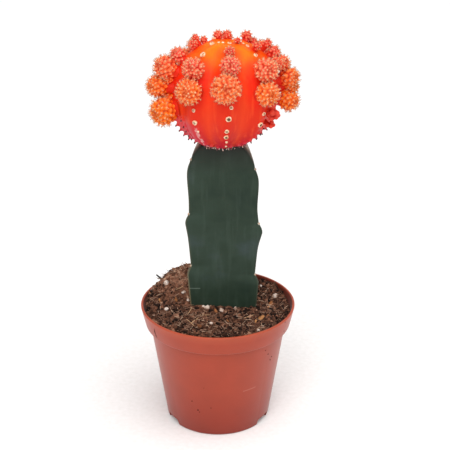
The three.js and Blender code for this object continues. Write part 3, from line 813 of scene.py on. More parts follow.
def peat():
    """Dull brown by the mark shade, lighter with height, mottled 1.3 mm across and very rough."""
    material, add, place = start("coarse_peat", Roughness=0.95, IOR=1.4, Specular_IOR_Level=0.25)
    shade = add("Attribute", out="Fac", attribute_name="shade")
    height = add("SeparateXYZ", {"Vector": place}, out="Z")
    drying = {"From Min": DRY_FROM * MM, "From Max": DRY_TO * MM, "To Max": DRY_SHADE}
    dry = add("MapRange", {"Value": height, **drying})
    shade = add("Math", {0: shade, 1: dry}, operation="ADD")
    mottle = add("TexNoise", {"Vector": place, "Scale": per(1.3), "Detail": 5})
    mixed = add("Math", {0: mottle, 1: 0.9, 2: shade}, operation="MULTIPLY_ADD")
    share = add("MapRange", {"Value": mixed, "From Min": 0.3, "From Max": 1.5})
    browns = [(0.08, "1d110c"), (0.3, "452b1f"), (0.5, "6c4735"), (0.75, "8e614b"), (1, "bf987e")]
    colour = add("ValToRGB", {"Fac": share}, stops=browns)
    # Peat dust is too fine to show, so its grain is drawn 0.4 mm across
    grain = add("TexNoise", {"Vector": place, "Scale": per(0.4), "Detail": 4})
    return paint(material, colour, grain, 0.8, 0.4)


peat_material = peat()
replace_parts(piece("peat_bed", bed, peat_material, bed_marks), "soil")

# %% [markdown]
# What makes peat look like peat is the loose stuff on top: crumbs, fibres, white grains of perlite,
# bark and bits of straw. They are strewn at random from fixed seeds, clear of the stock and the
# wall. Perlite shows up most, so its larger grains are put where the photograph has them.

# %% Strew crumbs
CRUMBS = 2700
CRUMB_CLEARANCE = 0.4
# The least width of a crumb, how much wider the widest are, and how much more common small ones are
LEAST_CRUMB, CRUMB_RANGE, CRUMB_FINENESS = 0.45, 1.35, 2.2
CRUMB_LIFT = 0.1
CRUMB_FLATNESS = 0.45, 1.45
# How light a crumb may be, and how often it is so
CRUMB_SHADES, CRUMB_CHANCES = [-0.2, 0.06, 0.26, 0.45, 0.75], [0.3, 0.26, 0.25, 0.13, 0.06]


def clear_ground(x, y, clear):
    """Whether places on the peat are at least so far from the stock and from the pot's wall."""
    angle = np.arctan2(y - STOCK_Y, x - STOCK_X)
    from_stock = np.hypot(x - STOCK_X, y - STOCK_Y) - stock_radius(angle, PEAT_LEVEL + MOUND[2])[0]
    return (from_stock > clear) & (np.hypot(x, y) < PEAT_RADIUS - clear)


def strewn(count, clear, rng):
    """Random places, even over the peat's area, that are clear of the stock and the wall."""
    turn = rng.uniform(0, 2 * np.pi, 3 * count)
    out = PEAT_RADIUS * np.sqrt(rng.uniform(0, 1, 3 * count))
    x, y = out * np.cos(turn), out * np.sin(turn)
    free = clear_ground(x, y, clear)
    return x[free][:count], y[free][:count]


rng = np.random.default_rng(21)
x, y = strewn(CRUMBS, CRUMB_CLEARANCE, rng)
size = LEAST_CRUMB + CRUMB_RANGE * rng.uniform(0, 1, len(x)) ** CRUMB_FINENESS
places = on_peat(x, y, CRUMB_LIFT * size)
shape = rough_balls(len(x), rng, rows=3, columns=6, jitter=0.35)
sizes = size[:, None] / 2 * rng.uniform(*CRUMB_FLATNESS, (len(x), 3))
shade = each_point(rng.choice(CRUMB_SHADES, len(x), p=CRUMB_CHANCES), shape)
crumbs = copies(shape, places, any_way(len(x), rng), sizes)
piece("peat_crumbs", crumbs, peat_material, {"shade": shade})

# %% [markdown]
# Fibres of moss and root are thin tapering tubes that lie across the crumbs. Each is stiff, so its
# height is the mean height of the peat below it, and parts of it dip under. A few stand up at a
# slant. They run from nearly black roots to pale straw.

# %% Lay fibres
FIBRES = 1300
# How far a fibre's turn, length, radius, bow and rise may range
FIBRE_RANGES = (0, 2 * math.pi), (2, 8), (0.06, 0.17), (-0.6, 0.6), (0.1, 0.9)
FIBRE_CLEARANCE = 0.3
FIBRE_SHADES = -0.2, 0.75
STRAND_STEPS = 7
# The bow's middle, where a strand's foot rests in its rise, and how thick it is midway and at its ends
BOW_MIDDLE, REST = 0.08, 0.4
FULLNESS, THIN_END = 1.05, 0.15


def strands(x, y, turn, length, radius, bow, rise):
    """Paths and widths of thin strands over the peat. Each runs its length along its turn, bows
    sideways by the square of the way along, lies at the mean height below it, is tipped up by its
    rise, and is thin at both ends."""
    along = np.linspace(-0.5, 0.5, STRAND_STEPS)[None, :]
    columns = (part[:, None] for part in (x, y, turn, length, radius, bow, rise))
    x, y, turn, length, radius, bow, rise = columns
    side, ahead = bow * length * (along**2 - BOW_MIDDLE), along * length
    path_x = x + ahead * np.cos(turn) - side * np.sin(turn)
    path_y = y + ahead * np.sin(turn) + side * np.cos(turn)
    level = peat_top(path_x, path_y).mean(1, keepdims=True)
    path = np.stack([path_x, path_y, level + rise * (REST + 2 * along)], -1)
    return path, radius * np.sqrt(np.clip(FULLNESS - (2 * along) ** 2, THIN_END, 1))


def dried_fibre(name, stops):
    """Dry plant fibre, dull: colours by the mark shade and by streaks 1.6 mm long."""
    material, add, place = start(name, Roughness=0.8, IOR=1.45, Specular_IOR_Level=0.3)
    streaks = add("TexNoise", {"Vector": place, "Scale": per(1.6), "Detail": 4})
    shade = add("Attribute", out="Fac", attribute_name="shade")
    share = add("Math", {0: streaks, 1: 0.5, 2: shade}, operation="MULTIPLY_ADD")
    colour = add("ValToRGB", {"Fac": share}, stops=stops)
    # The strands within it are about 0.05 mm thick, too fine to show, so they are drawn as 0.5 mm
    grain = add("TexNoise", {"Vector": place, "Scale": per(0.5), "Detail": 2})
    return paint(material, colour, grain, 0.4, 0.2)


rng = np.random.default_rng(34)
x, y = strewn(FIBRES, clear=1, rng=rng)
path, width = strands(x, y, *(rng.uniform(*span, FIBRES) for span in FIBRE_RANGES))
free = clear_ground(path[..., 0], path[..., 1], FIBRE_CLEARANCE).all(1)
points, faces = tubes(path[free], width[free], sides=4)
shade = np.repeat(rng.uniform(*FIBRE_SHADES, free.sum()), len(points) // free.sum())
moss = dried_fibre("dry_moss_fibre", [(0.1, "35211a"), (0.45, "74503f"), (0.75, "a07a64"), (1, "cca98e")])
piece("moss_fibres", (points, faces), moss, {"shade": shade})

# %% [markdown]
# Perlite is volcanic glass puffed up by heat: white, light and full of pores, so it looks chalky, and
# peat dust lodges in it. Each grain is a rough ball with proportions of its own.

# %% Set perlite
# The pixel of each grain that the photograph shows, and its width in pixels
PERLITE_PIXELS = [
    (166.4, 284.4, 5.5), (150.7, 290.9, 3.5), (154.3, 286.4, 2.5), (183.6, 292.8, 3.5), (166.4, 309.7, 3.5),
    (158, 312.3, 2.5), (153.7, 316, 3), (187.9, 301.2, 4), (203.2, 307.6, 3.5), (207, 309, 5),
    (221.6, 310.8, 4.2), (235, 309.2, 3.2), (211, 324, 3.5), (275, 297, 5.5), (258.2, 277.2, 4),
    (260.9, 286.8, 3.5), (258, 331, 2.5), (283.6, 311.6, 3),
]
# How many other grains there are and their sizes, how far a grain stands up, and its proportions
SMALL_PERLITE, SMALL_PERLITE_SIZES = 12, (0.5, 1.1)
PERLITE_LIFT = 0.2
PERLITE_FLATNESS = 0.75, 1.35


def widths_seen(pixels):
    """The widths in millimetres of things listed by their pixel and their width in pixels."""
    return np.array(pixels)[:, 2] / PIXELS_PER_MM


def seen_on_peat(pixels, clear=1.2):
    """Places on the peat that show at some pixels, moved in where they'd touch the pot's wall."""
    seen = where_seen(pixels, lambda points: points[..., 2] - peat_top(points[..., 0], points[..., 1]))
    out = np.hypot(seen[:, 0], seen[:, 1])
    seen[:, :2] *= np.minimum(1, (PEAT_RADIUS - clear) / out)[:, None]
    return on_peat(*seen.T[:2])


def expanded_glass():
    """Off-white with peat dust in its pores, which are 0.7 mm apart, and quite dull."""
    material, add, place = start("perlite", Roughness=0.85, IOR=1.5)
    pores = add("TexVoronoi", {"Vector": place, "Scale": per(0.7)})
    tone_share = add("TexNoise", {"Vector": place, "Scale": per(1.8), "Detail": 4})
    tones = [(0.36, "8c6a56"), (0.48, "ccb4a4"), (0.62, "e8dad0")]
    colour = add("ValToRGB", {"Fac": tone_share}, stops=tones)
    return paint(material, colour, pores, 0.6, 0.3)


rng = np.random.default_rng(55)
x, y = strewn(SMALL_PERLITE, clear=1, rng=rng)
places = np.concatenate([seen_on_peat(PERLITE_PIXELS), on_peat(x, y)])
size = np.concatenate([widths_seen(PERLITE_PIXELS), rng.uniform(*SMALL_PERLITE_SIZES, len(x))])
places[:, 2] += PERLITE_LIFT * size
shape = rough_balls(len(places), rng, rows=5, columns=8, jitter=0.3)
sizes = size[:, None] / 2 * rng.uniform(*PERLITE_FLATNESS, (len(places), 3))
piece("perlite", copies(shape, places, any_way(len(places), rng), sizes), expanded_glass())

# %% [markdown]
# Pine bark breaks into flat flakes, and the broken face is a dull ochre. The chips lie with that face
# up, tipped a little to the front. The random numbers go on from those of the perlite.

# %% Set bark chips
# The pixel of each chip and its width in pixels
BARK_PIXELS = [
    (271, 305, 8), (267, 308, 6), (261, 319, 8), (267, 317, 6), (256, 322, 6), (150, 294, 7), (176, 300, 6),
    (160, 301, 5), (228, 322, 5), (216, 312, 6), (200, 327, 7),
]
# How far a chip stands up, its proportions, its face's way and how that scatters, and how light it is
BARK_LIFT = 0.12
BARK_SHAPE = np.array([1, 0.55, 0.3])
BARK_WAY, BARK_SCATTER = [0, -0.5, 1], [0.5, 0.4, 0]
BARK_SHADES = 0, 0.5

places = seen_on_peat(BARK_PIXELS)
size = widths_seen(BARK_PIXELS)
places[:, 2] += BARK_LIFT * size
shape = rough_balls(len(places), rng, rows=4, columns=7, jitter=0.3)
turns = spun(rng.normal(size=places.shape) * BARK_SCATTER + BARK_WAY, rng)
chips = copies(shape, places, turns, size[:, None] / 2 * BARK_SHAPE)
shade = each_point(rng.uniform(*BARK_SHADES, len(places)), shape)
bark = dried_fibre("pine_bark", [(0.2, "633a22"), (0.5, "9c6238"), (0.8, "c08e5c")])
piece("bark_chips", chips, bark, {"shade": shade})

# %% [markdown]
# Some bits of straw lie on the peat, and one broken twig sticks out at the left. Straw is a dry
# stem, pale and a little glossy, and the twig's bark is nearly black. Both are tubes as the fibres
# are, but thicker, and placed by the photograph.

# %% Lay the straws and the twig
# The pixel of each straw's middle and its turn in the plan, in radians
STRAWS = [
    (190, 311, 1.2), (194, 322, 0.7), (190.5, 323, 2.3), (248, 318, 0.2), (204, 316, -0.4), (181, 289, 0.5),
]
# All straws have the same length, radius, bow and rise
STRAW_LENGTH, STRAW_RADIUS, STRAW_BOW, STRAW_RISE = 5, 0.2, 0.15, 0.6
TWIG_FOOT_PIXEL = (162, 279)
TWIG_WAY = np.array([-0.8, 0.05, 0.55])
TWIG_LENGTH, TWIG_RADIUS = 2.8, 0.42
# The twig's thickness at its middle and what it loses by its end, both as shares of its radius
TWIG_TAPER = 1.1, 0.4
TWIG_CURL = np.array([0, 0, 0.3])
DRY_STEM_SHADE = 0.2

alike = np.outer([STRAW_LENGTH, STRAW_RADIUS, STRAW_BOW, STRAW_RISE], np.ones(len(STRAWS)))
path, width = strands(*seen_on_peat(STRAWS).T[:2], np.array(STRAWS)[:, 2], *alike)
straw = dried_fibre("straw", [(0.2, "9a6e4c"), (0.6, "d2aa84")])
straws = tubes(path + [0, 0, STRAW_RADIUS], width, sides=6)
piece("straw", straws, straw, {"shade": DRY_STEM_SHADE})

along = np.linspace(-0.5, 1, STRAND_STEPS)[:, None]
foot = seen_on_peat([TWIG_FOOT_PIXEL], 0)[0]
path = foot + along * TWIG_LENGTH * unit(TWIG_WAY) + along**2 * TWIG_CURL
twig = tubes(path[None], TWIG_RADIUS * (TWIG_TAPER[0] - TWIG_TAPER[1] * along.T), sides=7)
twig_material = dried_fibre("twig_bark", [(0.2, "15100d"), (0.9, "33261e")])
piece("twig", twig, twig_material, {"shade": DRY_STEM_SHADE})

# %% [markdown]
# A pot that has been filled and watered has a little peat stuck to its outside: a few dark specks,
# and one short root hair on the band. They are placed as the perlite is, on the pot's wall instead.

# %% Stick specks to the pot
# The pixel of each speck and its width in pixels
SPECK_PIXELS = [
    (192, 401, 1.8), (198, 410, 2.2), (199.5, 412, 1.4), (211, 408, 1.6), (265.5, 350.5, 1.6), (268, 354, 2),
    (271.5, 356.5, 1.8), (270, 359.5, 2.2), (285, 322, 2), (284, 331, 1.8), (287, 317, 1.4), (204, 388, 1.2),
]
HAIR_PIXELS = [(154.2, 328.6), (154.6, 331), (155.2, 333.4), (156.1, 335.6), (157.2, 337.6)]
HAIR_RADII = 0.2 * np.array([[0.4, 0.9, 1, 0.9, 0.4]])
SPECK_SHAPE = np.array([1, 0.7, 0.3])
SPECK_SHADE = -0.5


def off_pot(points):
    """How far points are off the pot's wall."""
    return np.hypot(points[..., 0], points[..., 1]) - outer_radius(points[..., 2])


rng = np.random.default_rng(61)
places = where_seen(SPECK_PIXELS, off_pot)
shape = rough_balls(len(places), rng, rows=3, columns=6, jitter=0.3)
turns = spun(places * [1, 1, 0], rng)
specks = copies(shape, places, turns, widths_seen(SPECK_PIXELS)[:, None] / 2 * SPECK_SHAPE)
piece("pot_specks", specks, peat_material, {"shade": SPECK_SHADE})
hair = tubes(where_seen(HAIR_PIXELS, off_pot)[None], HAIR_RADII, sides=6)
piece("root_hair", hair, twig_material, {"shade": 0})

# %% [markdown]
# ## The globe
# The globe has eight ribs. A point on it is found from a turn and a latitude: a rounded-square
# profile gives its distance from the axis and its height, furrows pull it in between the crests, and
# the whole leans a little to the right. The underside is hollow over the stock's top, so the lowest
# skin droops over the cut as it does on a healed graft.

# %% Sizes of the globe
GLOBE_RADIUS = 21
GLOBE_HEIGHT_ABOVE = 21.2
GLOBE_DEPTH_BELOW = 21.5
GLOBE_SQUARENESS = 2.2
GLOBE_CENTRE_Z = 142.3
GLOBE_LEAN = 0.045
GLOBE_FLOOR = node_box("scion")[0][2]
CREST_TURNS = (-134, -88, -39, 0, 44, 94, 139, 181)
FURROW_DEPTH = 2.3
FURROW_FADE = 0.6
CREST_SHARPNESS = 0.8
CROWN_DIP = 1.3
CROWN_DIP_SPREAD = 4

# The offsets on each crest: latitude, size across the tips, how far the middle stands off the
# crest, and the turn aside from it, if any
OFFSETS = {
    -134: [(2, 9.4, 3), (22, 9, 3), (42, 6.6, 2), (57, 3.6, 1.2)],
    -88: [
        (-12, 11.6, 3.4, 9), (-3, 6.6, 1), (6, 9.4, 5.4), (14, 6, 2.2), (23, 10, 4.2),
        (39, 6.4, 2.8), (57, 4, 1.8),
    ],
    -39: [(13, 10.2, 3, 3), (34, 8.6, 2.6)],
    0: [(18, 11.4, 3.4), (40, 7.8, 2.3, 4), (60, 4.4, 1.1, 4)],
    44: [(10, 9.6, 3, -2), (31, 9.6, 2.8, 2)],
    94: [(-5, 9.2, 4, -4), (4, 6.4, 5), (12, 9, 4.2), (27, 7, 3), (41, 5.6, 2.6), (52, 4.2, 3.2)],
    139: [(-4, 8, 2.6), (13, 9.4, 3.2), (32, 8.4, 2.8), (49, 4.4, 1.6), (62, 4.8, 2)],
    181: [(-9, 8.8, 3), (11, 10, 3.2), (31, 8.6, 3), (50, 5.6, 2), (75, 4.2, 1.2)],
}
# Those between the crests: turn, latitude, size across, and how far the middle stands off
CROWN_OFFSETS = [
    (-112, 58, 3.6, 3), (-149, 73, 4.2, 1.4), (60, 80, 3, 0.6), (74, 60, 3.6, 1.2), (77, 33, 5.2, 2.2),
]
# Those low down without wool, in the same order
BARE_KNOBS = [(62, -12, 6.2, 0.8), (66, -25, 4.6, 0.6)]
GROWN = [
    (crest + (aside[0] if aside else 0), latitude, size, stand)
    for crest, offsets in OFFSETS.items()
    for latitude, size, stand, *aside in offsets
] + CROWN_OFFSETS


def crest_place(turn):
    """Where a turn lies among the crests: whole numbers are crests, halves are furrows."""
    crests = np.array([*CREST_TURNS, CREST_TURNS[0] + 360])
    return np.interp((turn - crests[0]) % 360 + crests[0], crests, np.arange(len(crests)))


def on_globe(turn, latitude, stand=0.0, furrowed=True):
    """A point of the globe in millimetres, or standing off it. Without furrows it is the surface
    that passes through the crests."""
    turn, latitude = np.broadcast_arrays(np.asarray(turn, float), np.asarray(latitude, float))
    across, up = np.cos(np.radians(latitude)), np.sin(np.radians(latitude))
    power = 2 / GLOBE_SQUARENESS
    radius = GLOBE_RADIUS * across**power
    height = np.where(up > 0, GLOBE_HEIGHT_ABOVE, -GLOBE_DEPTH_BELOW) * np.abs(up) ** power
    if furrowed:
        from_furrow = np.abs(crest_place(turn) % 1 * 2 - 1)
        share = ((1 + np.cos(np.pi * from_furrow)) / 2) ** CREST_SHARPNESS
        radius = radius - FURROW_DEPTH * (radius / GLOBE_RADIUS) ** FURROW_FADE * share
        height = height - np.where(up > 0, CROWN_DIP * np.exp(-((radius / CROWN_DIP_SPREAD) ** 2)), 0)
    x, y = around(turn, radius + stand * across)
    z = GLOBE_CENTRE_Z + height + stand * up
    return np.stack([STOCK_X + GLOBE_LEAN * (z - STOCK_TOP) + x, STOCK_Y + y, z], -1)


def globe_way(turn, latitude):
    """The direction straight off the globe."""
    return unit(on_globe(turn, latitude, 1.0) - on_globe(turn, latitude))


# %% [markdown]
# Each rib bears a row of areoles, the felted cushions that spines and offsets grow from. Those that
# the photograph shows are found by their pixels. Where a pixel's sight line meets the unfurrowed
# globe, the two powers that make up the rounded square give the latitude back. The areoles sit on
# small chins. Low down at the sides the chins crowd together and stand out like teeth.

# %% Find the areoles
# The pixel of each ring of felt, its size in millimetres and how dark its heart is
SEEN_AREOLES = [
    (228.7, 118.9, 2.2, 0.9), (226.8, 130.9, 1.7, 0.7), (226.2, 136.5, 1.8, 1), (226.6, 141.4, 1.1, 0.1),
    (226, 145.6, 0.9, 0), (231.3, 107.9, 1.5, 0.5), (194.6, 122.5, 2, 0.6), (193.6, 110.5, 1.4, 0.5),
    (197.6, 131.5, 0.9, 0), (259.6, 124.2, 2, 1), (263, 113.7, 1.5, 0.5), (240.6, 41.4, 1.5, 0),
    (230, 43, 1.5, 0), (209.4, 44.9, 1.9, 0), (203, 55.8, 2.1, 0.2), (250.6, 47.2, 1.4, 0),
    (256.8, 56.4, 1.7, 0.1), (223, 41.5, 1, 0), (217, 42.5, 1, 0), (246, 44.5, 1, 0),
]
# The turns and latitudes of the chins that stand out like teeth
TEETH = [
    (-63, -20), (-61, -27), (-60, -33), (-59, -39), (-57, -44), (-53, -49), (64, -30), (60, -36),
    (50, -33), (46, -38), (41, -43), (36, -48), (30, -52), (-30, -50), (-22, -54), (16, -55), (-10, -55),
]
BACK_CRESTS = (139, 181, -134)
SIDE_CRESTS, SIDE_TEETH = (-88, 94), range(-54, -19, 7)
BACK_LATITUDES = (72, 55, -11, -22.3, -34.4, -44.5, -54.6)
AREOLE_CLEARANCE = 4
BACK_AREOLE = (1.8, 0.3)
CHIN, TOOTH = 0.4, 1.15


def globe_shares(points):
    """The shares of the globe's radius and height at points, each to the power of its squareness, and
    the points' X and Y from the axis, which leans."""
    x, y = points[..., 0] - STOCK_X - GLOBE_LEAN * (points[..., 2] - STOCK_TOP), points[..., 1] - STOCK_Y
    height = points[..., 2] - GLOBE_CENTRE_Z
    reach = np.where(height > 0, GLOBE_HEIGHT_ABOVE, GLOBE_DEPTH_BELOW)
    across = np.hypot(x, y) / GLOBE_RADIUS
    return across**GLOBE_SQUARENESS, (np.abs(height) / reach) ** GLOBE_SQUARENESS, x, y


def seen_on_globe(pixels):
    """The turns and latitudes on the globe that show at some pixels."""
    seen = where_seen(pixels, lambda points: sum(globe_shares(points)[:2]) - 1)
    across, up, x, y = globe_shares(seen)
    latitude = np.arctan2(np.sqrt(up), np.sqrt(across)) * np.sign(seen[:, 2] - GLOBE_CENTRE_Z)
    return np.degrees([np.arctan2(x, -y), latitude])


def free_latitudes(crest):
    """The latitudes of the areoles on a crest that no offset covers."""
    free = []
    for latitude in BACK_LATITUDES:
        gaps = [abs(at - latitude) - math.degrees(size / 2 / GLOBE_RADIUS) for at, size, *_ in OFFSETS[crest]]
        if min(gaps) >= AREOLE_CLEARANCE:
            free.append(latitude)
    return free


TEETH += [(crest, latitude) for crest in SIDE_CRESTS for latitude in SIDE_TEETH]
# Each areole's turn, latitude, size and darkness
seen_areoles = np.column_stack([*seen_on_globe(SEEN_AREOLES), np.array(SEEN_AREOLES)[:, 2:]])
back_areoles = [(crest, at, *BACK_AREOLE) for crest in BACK_CRESTS for at in free_latitudes(crest)]
AREOLES = np.vstack([seen_areoles, back_areoles])
print(len(AREOLES), "areoles on the globe and", len(GROWN), "offsets")

# %% Build the globe
GLOBE_COLUMNS = 300
GLOBE_ROWS = 150
FLOOR_SINE = ((GLOBE_CENTRE_Z - GLOBE_FLOOR) / GLOBE_DEPTH_BELOW) ** (GLOBE_SQUARENESS / 2)
LOWEST = -math.degrees(math.asin(FLOOR_SINE))
HIGHEST = 89
CHIN_SPREAD, TOOTH_SPREAD = 3, 2
DROOP_CLEARANCE = 0.4
# The heights of the hollow's two rings under the globe, and how far each is drawn in
HOLLOW_RINGS = (GLOBE_FLOOR + 0.02, 0), (STOCK_TOP + GAP, 0.3)


def within_half(turn):
    """A turn in degrees, brought between -180 and 180."""
    return (turn + 180) % 360 - 180


turn = 360 * np.arange(GLOBE_COLUMNS)[None, :] / GLOBE_COLUMNS
latitude = np.linspace(HIGHEST, LOWEST, GLOBE_ROWS)[:, None]
plain = on_globe(turn, latitude)
chins = np.zeros(plain.shape[:2])
bumps = [(*row[:2], CHIN, CHIN_SPREAD) for row in AREOLES]
bumps += [(*tooth, TOOTH, TOOTH_SPREAD) for tooth in TEETH]
for at_turn, at_latitude, high, spread in bumps:
    aside = within_half(turn - at_turn) * math.cos(math.radians(at_latitude))
    chins += high * np.exp(-(aside**2 + (latitude - at_latitude) ** 2) / spread**2)
skin = plain + globe_way(turn, latitude) * chins[..., None]
lip_x, lip_y = (skin[-1, :, :2] - [STOCK_X, STOCK_Y]).T
lip_angle = np.arctan2(lip_y, lip_x)
over_stock = stock_radius(lip_angle, np.full(lip_angle.shape, STOCK_TOP))[0] + DROOP_CLEARANCE
under_radius = np.minimum(over_stock, np.hypot(lip_x, lip_y) - DROOP_CLEARANCE)
hollow = np.array([on_stock(lip_angle, level, under_radius - inset) for level, inset in HOLLOW_RINGS])
ends = on_globe(0, 90), (STOCK_X, STOCK_Y, STOCK_TOP + GAP)
globe = closed_skin(np.concatenate([skin, hollow]), *ends)
print("the globe is", np.round(np.ptp(skin.reshape(-1, 3), axis=0), 1), "mm each way")

# %% [markdown]
# The globe's colours change with the place, so its skin carries marks: how near a point is to a
# crest or to an offset's foot, how far its chin stands out, how far down it lies, and where the pink
# scar and its strip of cork run, low on the left. Each is worked out for all the points at once.

# %% Mark the globe
NEAR_OFFSET, NEAR_SHARPNESS = 3, 1.5
# The turn and latitude of both ends of the cork strip, and its half width in degrees
CORK_FOOT, CORK_TOP = (-33, -46), (-35, -17)
CORK_HALF_WIDTH = 3
FLECKS = 0.62
SCAR_MIDDLE, SCAR_HALF_WIDTH = -56, 26
SCAR_TOP, SCAR_FADE = -20, 2
SCAR_SQUARENESS = 4


def band(off_middle, half_width):
    """One along the middle of a band and nought beyond its half width, with a steep flank."""
    return np.exp(-((off_middle / half_width) ** SCAR_SQUARENESS))


def with_rims(values):
    """A mark for the rings of skin, carried on to the poles and the underside."""
    values = np.broadcast_to(values, chins.shape)
    return np.concatenate([[values[0, 0]], values.ravel(), np.tile(values[-1], 2), [values[-1, 0]]])


feet = np.array([on_globe(*grown[:2], 0.0, False) for grown in GROWN + BARE_KNOBS])
sizes = np.array([size for *_, size, _ in GROWN + BARE_KNOBS])
to_feet = np.linalg.norm(skin[:, :, None] - feet, axis=-1) - sizes / 2
strip = np.interp(latitude, [CORK_FOOT[1], CORK_TOP[1]], [CORK_FOOT[0], CORK_TOP[0]])
low = 1 / (1 + np.exp((latitude - SCAR_TOP) / SCAR_FADE))
pink = low * band(within_half(turn) - SCAR_MIDDLE, SCAR_HALF_WIDTH)
marks = {
    "from_crest": 1 - np.abs(crest_place(turn) % 1 * 2 - 1),
    "near_offset": np.exp(-((to_feet.min(-1).clip(0) / NEAR_OFFSET) ** NEAR_SHARPNESS)),
    "cork": np.maximum(low * band(within_half(turn) - strip, CORK_HALF_WIDTH), FLECKS * pink),
    "pink": pink,
    "chin": np.clip(chins / TOOTH, 0, 1),
    "below": (HIGHEST - latitude) / (HIGHEST - LOWEST),
}
marks = {mark: with_rims(values) for mark, values in marks.items()}
print("the scar covers", round(100 * float((pink > 0.5).mean())), "% of the globe's skin")

# %% [markdown]
# The globe's flesh has no green, so its own pigments show: orange where the sun reaches, red on the
# flanks and crimson low down and round the feet of the offsets. The flesh is full of water and lets
# light in a little, which subsurface scattering gives, and the skin over it is satin. Old skin low on
# the left has turned pink, with a strip of pale cork. Fine creases run across the flanks, and faint
# lighter streaks run down them.


# %% Orange cactus flesh
def flesh(name, roughness):
    """A watery flesh: light enters it and comes back red from about a millimetre deep."""
    glow = {"Subsurface_Weight": 0.25, "Subsurface_Radius": (1.0, 0.25, 0.08), "Subsurface_Scale": 1.2 * MM}
    return start(name, Roughness=roughness, IOR=1.4, Specular_IOR_Level=0.2, **glow)


def globe_skin():
    """Orange to crimson down the globe by the mark below, then each of the other marks in turn."""
    material, add, place = flesh("orange_globe_skin", 0.5)
    names = ("below", "near_offset", "from_crest", "pink", "chin", "cork")
    read = (add("Attribute", out="Fac", attribute_name=name) for name in names)
    below, near_offset, from_crest, pink, chin, cork = read
    clouds = add("TexNoise", {"Vector": place, "Scale": per(6), "Detail": 3})
    shifted = add("Math", {0: clouds, 1: 0.14, 2: below}, operation="MULTIPLY_ADD")
    sunset = [(0.12, "ff8000"), (0.36, "ff7400"), (0.47, "f62e00"), (0.62, "e2340e"), (0.84, "d02818")]
    colour = add("ValToRGB", {"Fac": shifted}, stops=[*sunset, (1, "b41a30")])
    colour = tinted(add, colour, "e41e0a", near_offset, most=0.65)
    colour = tinted(add, colour, "f2501e", from_crest, low=0.5, most=0.4)
    colour = tinted(add, colour, "f8642c", streaked(add, place, 1.8, 16, 2), low=0.52, high=0.75, most=0.3)
    colour = tinted(add, colour, "c4344a", pink, most=0.6)
    colour = tinted(add, colour, "d8505c", chin, low=0.3, most=0.75)
    flaky = add("TexNoise", {"Vector": place, "Scale": per(1), "Detail": 5})
    ragged = add("Math", {0: cork, 1: flaky}, operation="MULTIPLY")
    colour = tinted(add, colour, "e0a8a4", ragged, low=0.37, high=0.5, most=0.75)
    return paint(material, colour, streaked(add, place, 5, 1.1, 3), 0.4, 0.3)


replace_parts(piece("globe_skin", globe, globe_skin(), marks), "scion")

# %% [markdown]
# ## The offsets
# Each offset is a small globe covered in warts. Warts on a cactus follow the same spiral as the
# seeds in a sunflower: each comes 137.5 degrees round from the last. They are small and crowded at
# the apex, where they are born, and spread as they age. A point of the offset's skin looks for the
# nearest wart and rises towards it, so the skin creases where two warts meet, as real ones do. The
# neck runs down into the crest that the offset grows from.

# %% Set the warts
# How far down from its top an offset is a ball, and how far from its apex it has warts
OFFSET_SPAN = 140
WART_SPAN = math.radians(172)
# The depth of the creases as a share of the distance between warts, how small a wart may be, how
# far it strays, and how close warts stand at the apex, for a distance of one
WART_DEPTH = 0.48
LEAST_WART = 0.75
WART_STRAY = 0.14
APEX_PITCH = 0.45
KNOB_PITCH = 4
KNOB_ROUNDNESS = 2.4
# How far an apex leans to the front, and a knob's to the right and down
FRONT_LEAN = np.array([0, -0.9, 0.1])
KNOB_LEAN = np.array([0.3, 0, -0.35])
# The area that a wart takes up, for a distance of one between warts
PACKING = 0.87
SEED_TURN = math.radians(137.5)
# The dimple at the apex: its depth as a share of the radius, and its width
APEX_DIP = 0.07
APEX_WIDTH = math.radians(24)
# The distance between warts on an offset of no size, and how it grows with the size
PITCH, PITCH_GROWTH = 1.12, 0.105
COUNTING_STEPS = 400


def widest_pitch(size):
    """The widest distance between an offset's warts in millimetres, a little wider on a larger one."""
    return PITCH + PITCH_GROWTH * size


def wart_pitch(widest, down):
    """The distance between warts, which grows with the sine of the way down from the apex."""
    return widest * (APEX_PITCH + (1 - APEX_PITCH) * np.sin(np.minimum(down, np.pi / 2)))


def warts_of(size, widest, apex, seed):
    """An offset's warts: unit directions from its middle, the way down to each from the apex, and
    how fully each has grown. The count down to an angle is the area so far over that of a wart."""
    down = np.linspace(0, WART_SPAN, COUNTING_STEPS)
    crowding = 2 * np.pi * (size / 2) ** 2 * np.sin(down) / (PACKING * wart_pitch(widest, down) ** 2)
    reached = np.cumsum(crowding) * down[1]
    number = np.arange(int(reached[-1]))
    at = np.interp(number + 0.5, reached, down)
    rng = np.random.default_rng(seed)
    ways = round_axis(np.sin(at), number * SEED_TURN, np.cos(at))
    stray = WART_STRAY * wart_pitch(widest, at)[:, None] / (size / 2)
    strayed = unit(ways + stray * rng.normal(size=ways.shape))
    downs = np.arccos(np.clip(strayed[:, 2], -1, 1))
    return strayed @ facing(apex).T, downs, rng.uniform(LEAST_WART, 1, len(at))


def wart_depth(size, widest, down, grown):
    """How far below the offset's widest reach its skin lies, for how fully a wart has grown there."""
    dimple = APEX_DIP * size / 2 * np.exp(-((down / APEX_WIDTH) ** 2))
    return WART_DEPTH * wart_pitch(widest, down) * (1 - grown) + dimple


def sprout(turn, latitude, size, stand, widest, lean, seed):
    """An offset's middle, how deep its foot lies, its axes, its apex and its warts. It stands
    straight off the globe, but its apex leans."""
    foot = on_globe(turn, latitude)
    middle = on_globe(turn, latitude, stand, False)
    outward = unit(middle - on_globe(turn, latitude, stand - 1, False))
    axes = facing(outward, math.radians(turn + latitude))
    apex = axes.T @ unit(outward + lean)
    return middle, np.linalg.norm(middle - foot), axes, apex, warts_of(size, widest, apex, seed)


